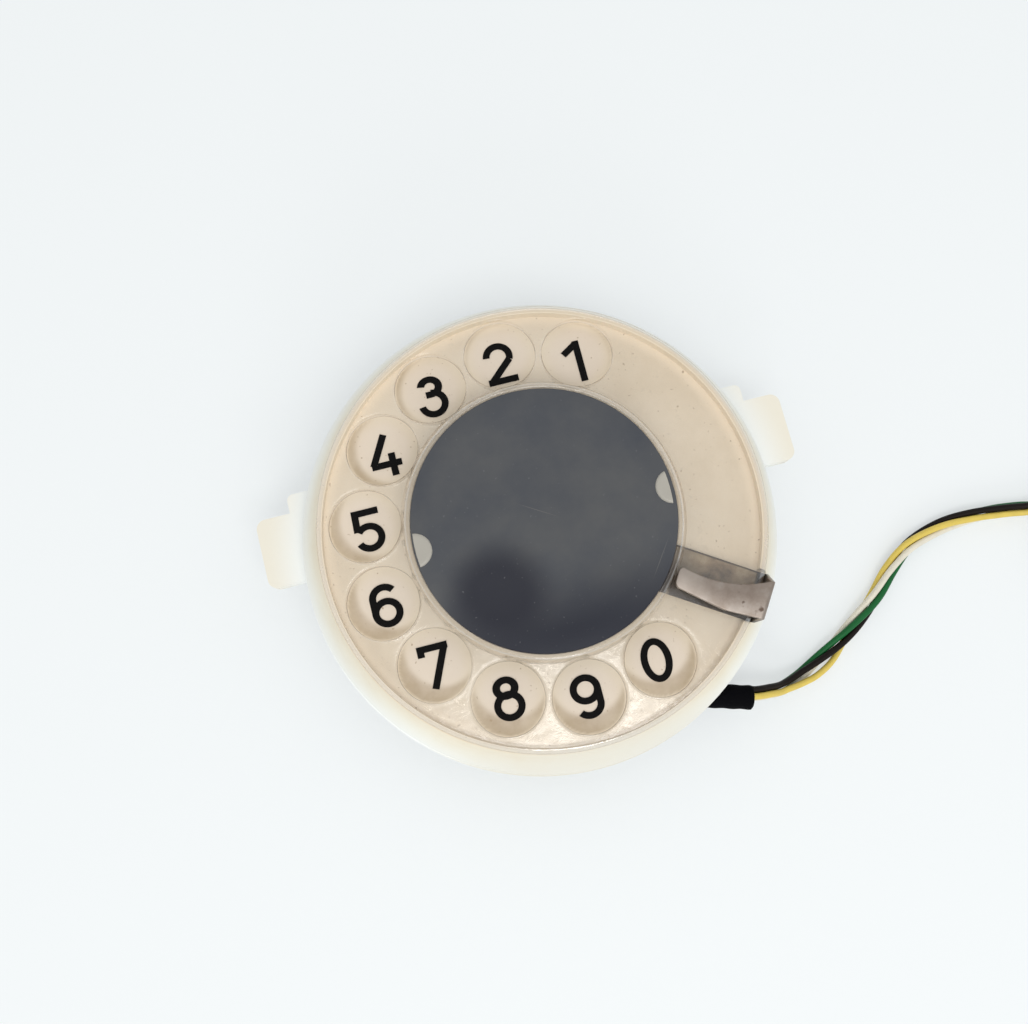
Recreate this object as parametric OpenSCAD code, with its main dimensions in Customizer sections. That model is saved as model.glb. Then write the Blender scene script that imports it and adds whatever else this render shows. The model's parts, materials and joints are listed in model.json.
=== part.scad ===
// Rotary dial unit of a telephone: clear finger wheel, number plate, ivory casing with two ears,
// and a spring-driven, governed pulse mechanism behind it. Millimetres.
// The origin is on the floor under the dial's axis, +Z up, the ears along X, digits upright to +Y.

/* [Finger wheel] */
// Outer diameter of the clear finger wheel
wheel_d = 78; // [77:0.5:79]
// Diameter of one finger hole
hole_d = 12.5; // [11.5:0.25:13]
// Radius of the circle that the finger holes lie on
hole_ring_r = 30.5; // [30.25:0.25:31]
// Thickness of the wheel's flange
flange_t = 2.2; // [1.8:0.1:2.4]
// Fall of the flange from hub to rim, in degrees
flange_slope = 6.5; // [4:0.5:7.5]
// Height of the wheel's rounded edge
edge_h = 2.3; // [1.8:0.1:2.6]
// Width of the wheel's rounded edge
edge_w = 1.5; // [1:0.1:1.8]
// Diameter of the dark disc in the hub
disc_d = 45.1; // [43:0.1:45.5]
// Thickness of the dark disc
disc_t = 1.4; // [1:0.1:1.6]
// Width of the hub's lip around the disc
hub_lip = 0.8; // [0.6:0.1:0.9]
// Diameter of the two clear lugs that hold the disc
lug_d = 5.8; // [4.5:0.1:6.5]

/* [Number plate] */
// Radius of the number plate
plate_r = 38; // [37.4:0.1:38.2]
// Thickness of the number plate
plate_t = 1; // [0.8:0.1:1.4]
// Height of a digit
digit_h = 7.6; // [6.5:0.1:8]
// Width of a digit's stroke
digit_stroke = 1.15; // [0.8:0.05:1.2]
// Width of the digits against plain round ones
digit_wide = 1.06; // [1:0.01:1.1]
// Radius of the circle that the digits lie on
digit_ring_r = 30.45; // [30:0.05:31]
// Clear height between the plate and the wheel's edge
wheel_gap = 2.8; // [2.4:0.1:3.4]

/* [Casing] */
// Outer diameter of the casing's skirt
casing_d = 87.3; // [86:0.1:91]
// Wall thickness of the casing
wall = 1.9; // [1.6:0.1:2.2]
// Step from the skirt to the narrower wall above the ears
seat_step = 0.5; // [0.45:0.05:1]
// Thickness of the casing's floor
floor_t = 2; // [1.8:0.1:2.6]
// Height of the rim around the number plate, from the plate's face
rim_h = 2.1; // [1.6:0.1:2.3]
// Height of the flared part of the casing
flare_h = 9.3; // [7:0.1:11]
// Depth of the whole casing from rim to bottom
casing_h = 15.8; // [14:0.1:17]

/* [Ears] */
// Distance over both ears
ear_span = 100.8; // [97:0.2:106]
// Width of an ear
ear_w = 13; // [10:0.5:14]
// Thickness of an ear
ear_t = 3; // [2.4:0.1:3.4]
// Distance of an ear's middle above the dial's axis
ear_y = 8.7; // [6:0.1:10]
// Corner radius of an ear
ear_r = 1.8; // [1:0.1:2.4]
// Width of the shoulder above each ear
shoulder_w = 3.4; // [2:0.1:5]
// Distance over both shoulders
shoulder_span = 87.6; // [87:0.2:92]

/* [Finger stop] */
// Direction of the finger stop from the dial's axis, in degrees
stop_a = -33; // [-36:1:-31]
// Width of the finger stop's leg
leg_w = 8.8; // [7:0.1:9.4]
// Thickness of the finger stop's sheet
sheet_t = 0.8; // [0.6:0.05:1]
// Clearance between the finger stop's arm and the wheel's hub
arm_gap = 0.9; // [0.6:0.1:1.2]

/* [Mechanism] */
// Depth between the rear bridge and the casing's floor
depth = 18.3; // [18.3:0.1:21]
// Radius of the rear bridge
bridge_r = 36; // [35.6:0.1:37]
// Thickness of the rear bridge
bridge_t = 1.5; // [1.2:0.1:2]
// Thickness of the nuts that the unit rests on
nut_h = 2.4; // [2:0.1:3]
// Diameter of a pillar
pillar_d = 5; // [4:0.1:5.4]
// Diameter of the main spindle
spindle_d = 5; // [4.4:0.1:5.2]
// Number of turns of the main spring
spring_turns = 5; // [3:1:6]
// Outer radius of the main spring's cup
cup_r = 13.8; // [13:0.1:14.4]

/* [Gear train] */
// Module of every gear
gear_m = 0.4; // [0.38:0.01:0.41]
// Teeth of the main gear
main_teeth = 98; // [98]
// Teeth of the intermediate pinion
inter_pinion_teeth = 14; // [14]
// Teeth of the intermediate gear
inter_teeth = 72; // [72]
// Teeth of the governor pinion
gov_pinion_teeth = 12; // [12]
// Thickness of a gear
gear_t = 1.2; // [0.8:0.1:1.4]
// Direction of the intermediate shaft from the dial's axis
inter_a = 150; // [146:1:154]

/* [Governor] */
// Inner radius of the governor's cup
gov_cup_r = 7.5; // [7:0.1:7.8]
// Wall of the governor's cup
gov_cup_wall = 0.8; // [0.6:0.1:1]
// Thickness of a governor weight
weight_t = 2.4; // [1.6:0.1:2.6]

/* [Contacts] */
// Thickness of a contact spring
leaf_t = 0.3; // [0.2:0.05:0.4]
// Height of a contact spring
leaf_h = 3; // [2.4:0.1:3.2]
// Length of the block that holds the contact springs
block_w = 24; // [23:0.5:25]
// Lift of the pulse cam's two lobes
pulse_lift = 0.9; // [0.6:0.1:1.2]

/* [Lead] */
// Diameter of one insulated wire
wire_d = 1.4; // [1.2:0.05:1.5]
// Outer diameter of the black sleeve
sleeve_d = 4.6; // [4.4:0.1:5]
// Length of the black sleeve
sleeve_l = 20; // [18:0.5:22]
// Diameter of the coil at the middle of its two turns
coil_d = 20; // [18:1:24]
// Length of each wire's tail, from the coil to its fork terminal
tail_l = 15; // [14:0.5:18]

/* [Hidden] */
$fn = 96;
eps = 0.01;

// Clearances
run_gap = 0.05;      // between a turning shaft and its bearing
fit_gap = 0.03;      // between pieces pressed or screwed together
loose_gap = 0.3;     // around plates in their recesses
side_gap = 0.1;      // between the ends of turning pieces

// Heights from the floor upwards
bridge_z = nut_h;
bridge_top = bridge_z + bridge_t;
floor_z = bridge_top + depth;
plate_z = floor_z + floor_t;
plate_top = plate_z + plate_t;
wheel_z = plate_top + wheel_gap;
rim_top = plate_top + rim_h;
casing_z = rim_top - casing_h;
ear_z = casing_z + 0.2;
ear_top = ear_z + ear_t;

// Finger wheel
wheel_r = wheel_d / 2;
digit_step = 360 / 14;
digit_2_a = 90;
disc_r = disc_d / 2;
hub_r = disc_r + run_gap + hub_lip;
hub_foot_r = hub_r + 0.8;
flat_r = wheel_r - edge_w;
foot_top = wheel_z + edge_h + (flat_r - hub_foot_r) * tan(flange_slope);
web_z = wheel_z + 0.6;
web_t = 1.8;
web_top = web_z + web_t;
washer_t = 0.5;
washer_r = 4.5;
head_h = 1.6;
disc_z = web_top + washer_t + head_h + 0.3;
disc_top = disc_z + disc_t;
ledge_r = disc_r - 2;
lug_t = 0.7;
lug_ring_r = 22.4;

// Casing
rim_r = plate_r + loose_gap;
rim_outer_r = wheel_r + 0.4;
casing_r = casing_d / 2;
seat_r = casing_r - seat_step;
flare_z = rim_top - flare_h;
flare_bow = 1.2;     // 1 for a straight flare, more for a hollow one
plate_bore_r = 4.8;

// Finger stop
leg_start = 9;
fold_u = wheel_r + 1.1;
arm_low_v = -4.9;
arm_fold_vs = [-4.3, 2.6];
arm_curve_r = 20.2;
arm_curve_v = -0.67;
arm_z = foot_top + arm_gap;
stop_screw_us = [12, 19];
stop_screw_r = 1;

// Spindle
spindle_r = spindle_d / 2;
journal_r = spindle_r - 0.5;
journal_top = bridge_top + 0.7;
bush_top = rim_top;
collar_r = 4;
square_w = 3.8;
square_h = 1.7;
m3_r = 1.5;
arbor_r = spindle_r + 1.5;

// Levels of the mechanism
cam_z = bridge_top + 1.1;
cam_h = 2.4;
arm_low = bridge_top + 3.9;
stop_arm_t = 0.8;
inter_gear_z = bridge_top + 5.1;
ratchet_z = bridge_top + 7.7;
ratchet_t = 1.3;
hub_z = ratchet_z + ratchet_t + side_gap;
hub_flange_t = 0.5;
main_gear_z = hub_z + hub_flange_t;
cup_floor_t = 0.6;
cup_z = main_gear_z + gear_t + 1.5;
spring_z = cup_z + cup_floor_t + 0.3;
spring_h = floor_z - spring_z - 1.4;

// Gears
press_angle = 22;
backlash = 0.05;
addendum = 0.9;
dedendum = 1.3;
inter_dist = gear_m * (main_teeth + inter_pinion_teeth) / 2;
gov_dist = gear_m * (inter_teeth + gov_pinion_teeth) / 2;
gov_r = 29.3 * gear_m / 0.4;
gov_a = inter_a - acos((pow(inter_dist, 2) + pow(gov_r, 2) - pow(gov_dist, 2)) / (2 * inter_dist * gov_r));
inter_pos = [inter_dist * cos(inter_a), inter_dist * sin(inter_a)];
gov_pos = [gov_r * cos(gov_a), gov_r * sin(gov_a)];
square_arbor = 2;
pivot_r = 0.9;
square_z0 = bridge_top + 0.4;
square_z1 = floor_z - 3.4;
boss_r = 3;
boss_h = 3.2;

// Ratchet and pawl
ratchet_teeth = 16;
ratchet_r = 8;
ratchet_depth = 1;
pawl_ring_r = 12.2;
pawl_a = -95;
pawl_pin_r = 0.75;

// Rest stop
stop_pin_r = 1.25;
stop_pin_ring_r = 10.5;
stop_arm_w = 4.8;
stop_arm_r = 12;
stop_arm_a = -60;
stop_pin_a = stop_arm_a + asin((stop_arm_w / 2 + stop_pin_r + run_gap) / stop_pin_ring_r);

// Governor
fly_z = bridge_top + 9.8;
fly_t = 1;
fly_half = 4.8;
weight_z = fly_z + fly_t + side_gap;
weight_r = gov_cup_r - 0.75;
weight_pin_r = 0.5;
gov_cup_z = fly_z - 0.4;
gov_cup_top = floor_z - boss_h;

// Contacts
block_x0 = -26;
block_y1 = 17 - bridge_r;
block_d = 8;
block_h = 5.5;
leaf_z = bridge_top + 0.5;
leaf_depth = 3;
slot_side = 0.2;
cam_gap = 0.1;
pulse_r = 2.1;
pulse_leaf_x = inter_pos[0] - pulse_r - pulse_lift - cam_gap - leaf_t;
pulse_fixed_x = pulse_leaf_x + leaf_t + 1.3;
off_cam_r = 5.2;
off_lift = 0.8;
off_leaf_x = -off_cam_r - off_lift - cam_gap - leaf_t;
off_fixed_x = off_leaf_x + leaf_t + 1.6;
contact_r = 0.9;
tag_xs = [-22.5, -17.5, -12.5, -7.5];

// Pillars
pillar_as = [70, -40, 200];
pillar_ring_r = bridge_r - pillar_d / 2;
nut_across = 5.5;

// Lead: points of the route on the floor, from the sleeve's mouth to the coil
sleeve_mouth = [31.3, -38.8, 8];
sleeve_a = -17;
route = [
    [31.8, -38.95, 7.95], [35.0, -39.7, 6.1], [38.6, -40.0, 3.2], [43.0, -38.6, 1.9],
    [48.2, -35.5, 1.8], [53.0, -31.8, 1.8], [57.6, -27.8, 1.8], [62.2, -23.4, 1.8],
    [67.2, -19.9, 1.8], [72.6, -17.1, 1.8], [78.2, -15.3, 1.8], [84.2, -14.9, 1.8],
    [90.0, -15.6, 1.8], [95.2, -17.0, 1.9], [100.0, -18.2, 3.3], [104.6, -19.4, 5.35],
    [109.0, -20.6, 5.4]
];
twists = [315, 307, 298, 285, 255, 213, 171, 129, 87, 45, 3, -35, -60, -67, -41, -15, 11];
strand_r = wire_d / 2 + 0.04;
bundle_d = 2 * (strand_r * sqrt(2) + wire_d / 2);
coil_centre = [110.5, -29.5];
coil_in_r = coil_d / 2 - bundle_d;
coil_out_r = coil_d / 2 + bundle_d;
coil_h = bundle_d + 0.1;

// The four tails leave the outer turn at one point and fan out, each to its fork
leave_a = 110;
leave_p = coil_centre + (coil_d + bundle_d) / 2 * [cos(leave_a), sin(leave_a)];
leave_turn = 45;
fork_as = [27, 49, 71, 5];
fork_z = 1.2;

// ---- helpers ----

// A tube ring sector of stroke width s, from angle a0 to a1, on a middle radius r
module arc_stroke(r, a0, a1, s = digit_stroke) {
    far = 2 * (r + s);
    gap = 360 - (a1 - a0);
    difference() {
        circle(r = r + s / 2, $fn = 48);
        circle(r = r - s / 2, $fn = 48);
        if (gap > 1) polygon(concat([[0, 0]],
            [for (i = [0:6]) far * [cos(a1 + gap * i / 6), sin(a1 + gap * i / 6)]]));
    }
}

// A straight stroke between two points
module line_stroke(p, q, s = digit_stroke) {
    d = q - p;
    translate(p) rotate(atan2(d[1], d[0])) translate([0, -s / 2]) square([norm(d), s]);
}

function involute(a) = tan(a) * 180 / PI - a;

// Half the angle of a tooth, in degrees, at radius r
function tooth_half(r, pitch_r, teeth) =
    let (base_r = pitch_r * cos(press_angle), at = max(r, base_r))
    90 / teeth - backlash / pitch_r * 90 / PI + involute(press_angle) - involute(acos(base_r / at));

// Outline of a spur gear, with one tooth centred on the +X axis
function gear_points(teeth) =
    let (pr = gear_m * teeth / 2, tip = pr + addendum * gear_m, root = pr - dedendum * gear_m,
        rs = [root, pr - 0.4 * gear_m, pr + 0.3 * gear_m, tip])
    [for (i = [0:teeth - 1]) each concat(
        [for (r = rs) r * [cos(360 * i / teeth - tooth_half(r, pr, teeth)),
            sin(360 * i / teeth - tooth_half(r, pr, teeth))]],
        [for (k = [3:-1:0]) rs[k] * [cos(360 * i / teeth + tooth_half(rs[k], pr, teeth)),
            sin(360 * i / teeth + tooth_half(rs[k], pr, teeth))]])];

// A gear wheel with a square hole
module gear(teeth, h, bore_w, turn = 0) {
    linear_extrude(h) difference() {
        rotate(turn) polygon(gear_points(teeth));
        square(bore_w, center = true);
    }
}

// A round tube or shaft along Z between two heights
module post(r, z0, z1, bore = 0) {
    translate([0, 0, z0]) difference() {
        cylinder(r = r, h = z1 - z0);
        if (bore > 0) translate([0, 0, -1]) cylinder(r = bore, h = z1 - z0 + 2);
    }
}

// Copies its children on a circle at the angles given
module on_ring(r, angles) {
    for (a = angles) rotate(a) translate([r, 0, 0]) children();
}

// A rounded rectangle from circles and squares
module rounded(w, d, r) {
    translate([r, 0]) square([w - 2 * r, d]);
    translate([0, r]) square([w, d - 2 * r]);
    for (x = [r, w - r], y = [r, d - r]) translate([x, y]) circle(r = r, $fn = 32);
}

// Pan-head screw with a straight slot: head up, shank down, head's underside at z = 0
module slotted_screw(head_r, head_t, shank_r, shank_l) {
    difference() {
        union() {
            cylinder(r = head_r, h = head_t);
            translate([0, 0, -shank_l]) cylinder(r = shank_r, h = shank_l + eps);
        }
        translate([-head_r - 1, -0.3, head_t * 0.55]) cube([2 * head_r + 2, 0.6, head_t]);
    }
}

// ---- finger wheel group ----

module finger_wheel() {
    color([0.93, 0.91, 0.86, 0.45])
    difference() {
        union() {
            rotate_extrude($fn = 180) polygon(concat(
                [[0, web_z], [ledge_r + 1, web_z], [hub_foot_r, foot_top - flange_t]],
                [[flat_r, wheel_z], [wheel_r - 0.3, wheel_z]],
                [for (i = [0:4]) let (a = 90 * i / 4)
                    [flat_r + edge_w * cos(a), wheel_z + 0.4 + (edge_h - 0.4) * sin(a)]],
                [[hub_foot_r, foot_top], [hub_r, disc_top]],
                [[disc_r + run_gap, disc_top], [disc_r + run_gap, disc_z]],
                [[ledge_r, disc_z], [ledge_r, web_top], [0, web_top]]
            ));
            // two lugs over the disc
            for (s = [0, 180]) rotate(s) intersection() {
                translate([lug_ring_r, 0, disc_top]) cylinder(d = lug_d, h = lug_t, $fn = 48);
                translate([0, 0, disc_top - 1]) cylinder(r = hub_r, h = lug_t + 2);
            }
        }
        on_ring(hole_ring_r, [for (k = [1:10]) digit_2_a + digit_step * (k - 2)])
            translate([0, 0, wheel_z - 2]) cylinder(d = hole_d, h = 12);
        translate([0, 0, web_z + web_t / 2]) cube([square_w + 0.1, square_w + 0.1, web_t + 1], center = true);
    }
}

module centre_disc() {
    color([0.30, 0.31, 0.35]) post(disc_r, disc_z, disc_top);
}

module wheel_washer() {
    color("silver") post(washer_r, web_top, web_top + washer_t, m3_r + 0.1);
}

module wheel_screw() {
    color("gainsboro") translate([0, 0, web_top + washer_t])
        slotted_screw(3, head_h, m3_r, 8);
}

module spindle() {
    color("lightsteelblue")
    difference() {
        union() {
            post(journal_r, bridge_z + 0.2, journal_top + eps);
            post(spindle_r, journal_top, bush_top + side_gap + eps);
            post(collar_r, bush_top + side_gap, web_z);
            translate([-square_w / 2, -square_w / 2, web_z - eps])
                cube([square_w, square_w, square_h + eps]);
        }
        translate([0, 0, web_z - 8]) cylinder(r = m3_r + fit_gap, h = 12);
    }
}

module spring_arbor() {
    color("burlywood")
        post(arbor_r, spring_z - 0.2, spring_z + spring_h + 0.2, spindle_r + fit_gap);
}

module ratchet_wheel() {
    color("goldenrod") translate([0, 0, ratchet_z]) linear_extrude(ratchet_t) difference() {
        polygon([for (i = [0:ratchet_teeth - 1]) let (a = 360 * i / ratchet_teeth) each [
            ratchet_r * [cos(a), sin(a)],
            (ratchet_r - ratchet_depth) * [cos(a + 1.5), sin(a + 1.5)]]]);
        circle(r = spindle_r + fit_gap);
    }
}

module off_normal_cam() {
    color("seashell") translate([0, 0, cam_z]) linear_extrude(cam_h) difference() {
        union() {
            circle(r = off_cam_r);
            intersection() {
                circle(r = off_cam_r + off_lift);
                rotate(180) polygon([[0, 0], 9 * [cos(22), sin(22)], 9 * [cos(22), -sin(22)]]);
            }
        }
        circle(r = spindle_r + fit_gap);
    }
}

module stop_arm() {
    color("darkkhaki") difference() {
        union() {
            post(5, arm_low, arm_low + stop_arm_t);
            rotate(stop_arm_a) translate([0, -stop_arm_w / 2, arm_low])
                cube([stop_arm_r, stop_arm_w, stop_arm_t]);
        }
        post(spindle_r + fit_gap, arm_low - 1, arm_low + stop_arm_t + 1);
    }
}

// ---- casing group ----

module casing() {
    color([0.93, 0.91, 0.84])
    difference() {
        union() {
            rotate_extrude($fn = 180) polygon(concat(
                [[0, floor_z], [rim_r - 1.5, floor_z], [casing_r - wall, flare_z - 0.6]],
                [[casing_r - wall, casing_z], [casing_r, casing_z], [casing_r, ear_top], [seat_r, ear_top]],
                [for (t = [0:1 / 6:1])
                    [rim_outer_r + (seat_r - rim_outer_r) * pow(1 - t, flare_bow),
                        flare_z + (flare_h - 0.5) * t]],
                [[rim_outer_r - 0.3, rim_top], [rim_r, rim_top], [rim_r, plate_z], [0, plate_z]]
            ));
            for (s = [0, 1]) mirror([s, 0, 0]) {
                translate([casing_r - wall - 0.5, ear_y - ear_w / 2, ear_z]) linear_extrude(ear_t)
                    rounded(ear_span / 2 - casing_r + wall + 0.5, ear_w, ear_r);
                translate([casing_r - wall - 3, ear_y + ear_w / 2 - 3, ear_z]) linear_extrude(ear_t)
                    rounded(shoulder_span / 2 - casing_r + wall + 3, shoulder_w + 3, 1.2);
            }
            for (p = [inter_pos, gov_pos]) translate([p[0], p[1], 0])
                post(boss_r, floor_z - boss_h, floor_z + eps);
        }
        // centre bore, pivot bores and pillar screws
        post(plate_bore_r - 0.3 + fit_gap, floor_z - 1, plate_z + 1);
        for (p = [inter_pos, gov_pos]) translate([p[0], p[1], 0])
            post(pivot_r + run_gap, floor_z - boss_h - 1, floor_z - 0.3);
        on_ring(pillar_ring_r, pillar_as) {
            post(m3_r + 0.1, floor_z - 1, plate_z + 1);
            post(2.9, plate_z - 1.1, plate_z + 1);
        }
        rotate(stop_a) {
            for (u = stop_screw_us) translate([u, 0, 0])
                post(stop_screw_r + fit_gap, floor_z - 1, plate_z + 1);
            translate([rim_r - 1.5, -leg_w / 2 - 0.4, plate_top])
                cube([8, leg_w + 0.8, rim_h + 1]);
        }
    }
}

module number_plate() {
    color([0.86, 0.80, 0.69])
    difference() {
        post(plate_r, plate_z, plate_top);
        post(plate_bore_r, plate_z - 1, plate_top + 1);
        rotate(stop_a) for (u = stop_screw_us) translate([u, 0, 0])
            post(stop_screw_r + fit_gap, plate_z - 1, plate_top + 1);
    }
}

digit_r = 0.335 * digit_h;
low_y = digit_r - digit_h / 2;
mid_r = digit_r - digit_stroke / 2;
small_r = 0.258 * digit_h;
high_y = digit_h / 2 - small_r;
bar_y = digit_h / 2 - digit_stroke / 2;
top_wide = 1.09;     // width of the upper bowls of 3 and 8 against round ones

// Plain digits, centred on the origin
module digit(n) {
    if (n == 0) difference() {
        scale([digit_r, digit_h / 2]) circle(1);
        scale([digit_r - digit_stroke, digit_h / 2 - digit_stroke]) circle(1);
    }
    if (n == 1) {
        translate([0.3, -digit_h / 2]) square([digit_stroke, digit_h]);
        line_stroke([-1.6, 1.7], [0.75, bar_y]);
    }
    if (n == 2) {
        translate([0, -low_y]) arc_stroke(mid_r, -22, 175);
        line_stroke([-digit_r + 0.55, -bar_y], [mid_r * cos(-22), -low_y + mid_r * sin(-22)]);
        translate([-digit_r, -digit_h / 2]) square([2 * digit_r, digit_stroke]);
    }
    if (n == 3) {
        translate([0, high_y]) scale([top_wide, 1]) arc_stroke(small_r - digit_stroke / 2, -90, 168);
        translate([0, low_y]) arc_stroke(mid_r, -172, 90);
        line_stroke([-0.9, high_y - small_r + digit_stroke / 2], [0.1, high_y - small_r + digit_stroke / 2]);
    }
    if (n == 4) {
        line_stroke([0.5, digit_h / 2], [-digit_r + 0.3, -1.5]);
        line_stroke([-digit_r, -1.6], [digit_r, -1.6]);
        line_stroke([1.1, -digit_h / 2], [1.1, 0.3]);
    }
    if (n == 5) {
        line_stroke([-digit_r + 0.4, bar_y], [digit_r - 0.3, bar_y]);
        line_stroke([-digit_r + 0.9, digit_h / 2], [-digit_r + 0.75, 0]);
        translate([0, low_y]) arc_stroke(mid_r, -155, 145);
    }
    if (n == 6 || n == 9) rotate(n == 9 ? 180 : 0) {
        translate([0, low_y]) arc_stroke(mid_r, -180, 180);
        line_stroke([-mid_r, low_y], [-mid_r, -low_y]);
        translate([0, -low_y]) arc_stroke(mid_r, 38, 181);
    }
    if (n == 7) {
        line_stroke([-digit_r, bar_y], [digit_r, bar_y]);
        line_stroke([-0.9, -digit_h / 2], [digit_r - 0.5, bar_y]);
        line_stroke([-digit_r + digit_stroke / 2, digit_h / 2], [-digit_r + digit_stroke / 2, 1.9]);
    }
    if (n == 8) {
        translate([0, high_y]) scale([top_wide, 1]) arc_stroke(small_r - digit_stroke / 2, -180, 180);
        translate([0, low_y]) arc_stroke(mid_r, -180, 180);
    }
}

module numerals() {
    print_t = 0.12;
    color([0.09, 0.09, 0.10])
    for (k = [1:10]) {
        a = digit_2_a + digit_step * (k - 2);
        translate([digit_ring_r * cos(a), digit_ring_r * sin(a), plate_top])
            linear_extrude(print_t) scale([digit_wide, 1]) digit(k % 10);
    }
}

// The folded strip: a leg on the plate, a fold outside the wheel and a curved arm over it
module finger_stop() {
    leg_top = plate_top + sheet_t;
    color([0.55, 0.52, 0.49]) rotate(stop_a) {
        difference() {
            translate([leg_start, -leg_w / 2, plate_top]) cube([fold_u - leg_start, leg_w, sheet_t]);
            for (u = stop_screw_us) translate([u, 0, 0])
                post(stop_screw_r + fit_gap, plate_top - 1, leg_top + 1);
        }
        // the fold, as wide as the leg below and as the arm above
        translate([fold_u - sheet_t, 0, 0]) rotate([90, 0, 90]) linear_extrude(sheet_t) polygon([
            [-leg_w / 2, plate_top], [leg_w / 2, plate_top], [leg_w / 2, leg_top],
            [arm_fold_vs[1], arm_z + sheet_t], [arm_fold_vs[0], arm_z + sheet_t]]);
        translate([hub_foot_r, 0, arm_z]) linear_extrude(sheet_t) difference() {
            union() {
                translate([1, -1.3]) circle(r = 1, $fn = 48);
                translate([0.9, -2.9]) circle(r = 0.9, $fn = 48);
                polygon([[0, -1.3], [0, -2.9], [0.74, -3.79], [8.8, arm_low_v],
                    [fold_u - hub_foot_r, arm_fold_vs[0]], [fold_u - hub_foot_r, arm_fold_vs[1]],
                    [3, 0], [1, -0.3]]);
            }
            // the concave upper edge that the finger meets
            translate([4.7, arm_curve_v + arm_curve_r]) circle(r = arm_curve_r, $fn = 180);
        }
    }
}

module finger_stop_screws() {
    color("gainsboro") rotate(stop_a) for (u = stop_screw_us)
        translate([u, 0, plate_top + sheet_t])
            slotted_screw(1.9, 1.1, stop_screw_r, sheet_t + plate_t + floor_t);
}

module spindle_bush() {
    color("darkgoldenrod") difference() {
        union() {
            post(plate_bore_r - 0.3, floor_z - eps, bush_top);
            post(6.5, floor_z - 1, floor_z);
        }
        post(spindle_r + run_gap, floor_z - 2, bush_top + 1);
    }
}

module spring_cup() {
    color("lightgray") difference() {
        post(cup_r, cup_z, floor_z);
        post(cup_r - 0.6, cup_z + cup_floor_t, floor_z + 1);
        post(spindle_r + 0.4, cup_z - 1, cup_z + 2);
    }
}

// Flat spiral strip from the arbor to the cup's wall
module main_spring() {
    in_r = arbor_r + fit_gap;
    out_r = cup_r - 0.6 - 0.4 - 0.1;
    strip = 0.4;
    steps = 20 * spring_turns;
    function at(i) = in_r + (out_r - in_r) * i / steps;
    function way(i) = 18 * i;
    color("slategray") translate([0, 0, spring_z]) linear_extrude(spring_h) polygon(concat(
        [for (i = [0:steps]) at(i) * [cos(way(i)), sin(way(i))]],
        [for (i = [steps:-1:0]) (at(i) + strip) * [cos(way(i)), sin(way(i))]]));
}

module stop_pin() {
    color("silver") rotate(stop_pin_a) translate([stop_pin_ring_r, 0, 0])
        post(stop_pin_r, bridge_z + 0.1, arm_low + stop_arm_t);
}

module pillars() {
    color("lightgray") on_ring(pillar_ring_r, pillar_as) difference() {
        union() {
            post(pillar_d / 2, bridge_top, floor_z);
            post(m3_r, 0.1, bridge_top + eps);
        }
        post(m3_r + fit_gap, floor_z - 7, floor_z + 1);
    }
}

module pillar_screws() {
    color("gainsboro") on_ring(pillar_ring_r, pillar_as) translate([0, 0, plate_z - 1.1])
        slotted_screw(2.8, 1, m3_r, 6);
}

module bridge_nuts() {
    color("silver") on_ring(pillar_ring_r, pillar_as) difference() {
        cylinder(d = nut_across / cos(30), h = nut_h, $fn = 6);
        post(m3_r + fit_gap, -1, nut_h + 1);
    }
}

module rear_bridge() {
    color([0.72, 0.70, 0.62]) difference() {
        post(bridge_r, bridge_z, bridge_top);
        post(3.5 + fit_gap, bridge_z - 1, bridge_top + 1);
        on_ring(pillar_ring_r, pillar_as) post(m3_r + 0.1, bridge_z - 1, bridge_top + 1);
        for (p = [inter_pos, gov_pos]) translate([p[0], p[1], 0])
            post(pivot_r + run_gap, bridge_z - 1, bridge_top + 1);
        rotate(stop_pin_a) translate([stop_pin_ring_r, 0, 0])
            post(stop_pin_r + fit_gap, bridge_z - 1, bridge_top + 1);
        for (p = block_screw_ps) translate([p[0], p[1], 0])
            post(m3_r + fit_gap, bridge_z - 1, bridge_top + 1);
        translate([clip_screw_p[0], clip_screw_p[1], 0])
            post(clip_hole_r + fit_gap, bridge_z - 1, bridge_top + 1);
        // two windows that show the gears
        for (w = [[-18, 52], [84, 106]]) translate([0, 0, bridge_z - 1])
            linear_extrude(bridge_t + 2) intersection() {
                difference() {
                    circle(r = bridge_r - 8);
                    circle(r = 14);
                }
                polygon(concat([[0, 0]],
                    [for (i = [0:4]) let (a = w[0] + (w[1] - w[0]) * i / 4) 60 * [cos(a), sin(a)]]));
            }
    }
}

module bridge_bush() {
    color("darkgoldenrod") difference() {
        union() {
            post(3.5, bridge_z, bridge_top + eps);
            post(5, bridge_top, bridge_top + 0.6);
        }
        post(journal_r + run_gap, bridge_z - 1, bridge_top + 2);
    }
}

// ---- main gear group ----

module main_gear() {
    color("khaki") translate([0, 0, main_gear_z]) gear(main_teeth, gear_t, 8 + 2 * fit_gap);
}

module gear_hub() {
    color("peru") difference() {
        union() {
            post(pawl_ring_r + 2.2, hub_z, main_gear_z);
            translate([-4, -4, main_gear_z - eps]) cube([8, 8, gear_t + 0.6]);
        }
        post(spindle_r + run_gap, hub_z - 1, cup_z);
        rotate(pawl_a) translate([pawl_ring_r, 0, 0]) post(pawl_pin_r + fit_gap, hub_z - 1, main_gear_z + 1);
    }
}

module pawl_pivot() {
    color("silver") rotate(pawl_a) translate([pawl_ring_r, 0, 0]) {
        post(pawl_pin_r, ratchet_z - 0.5, main_gear_z);
        post(pawl_pin_r + 0.5, ratchet_z - 0.5, ratchet_z - side_gap);
    }
}

// The pawl's nose stands in a gap of the ratchet, against a tooth's steep face
tooth_a = 360 / ratchet_teeth;
nose_a = 2.4 - 6 * tooth_a;

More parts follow.
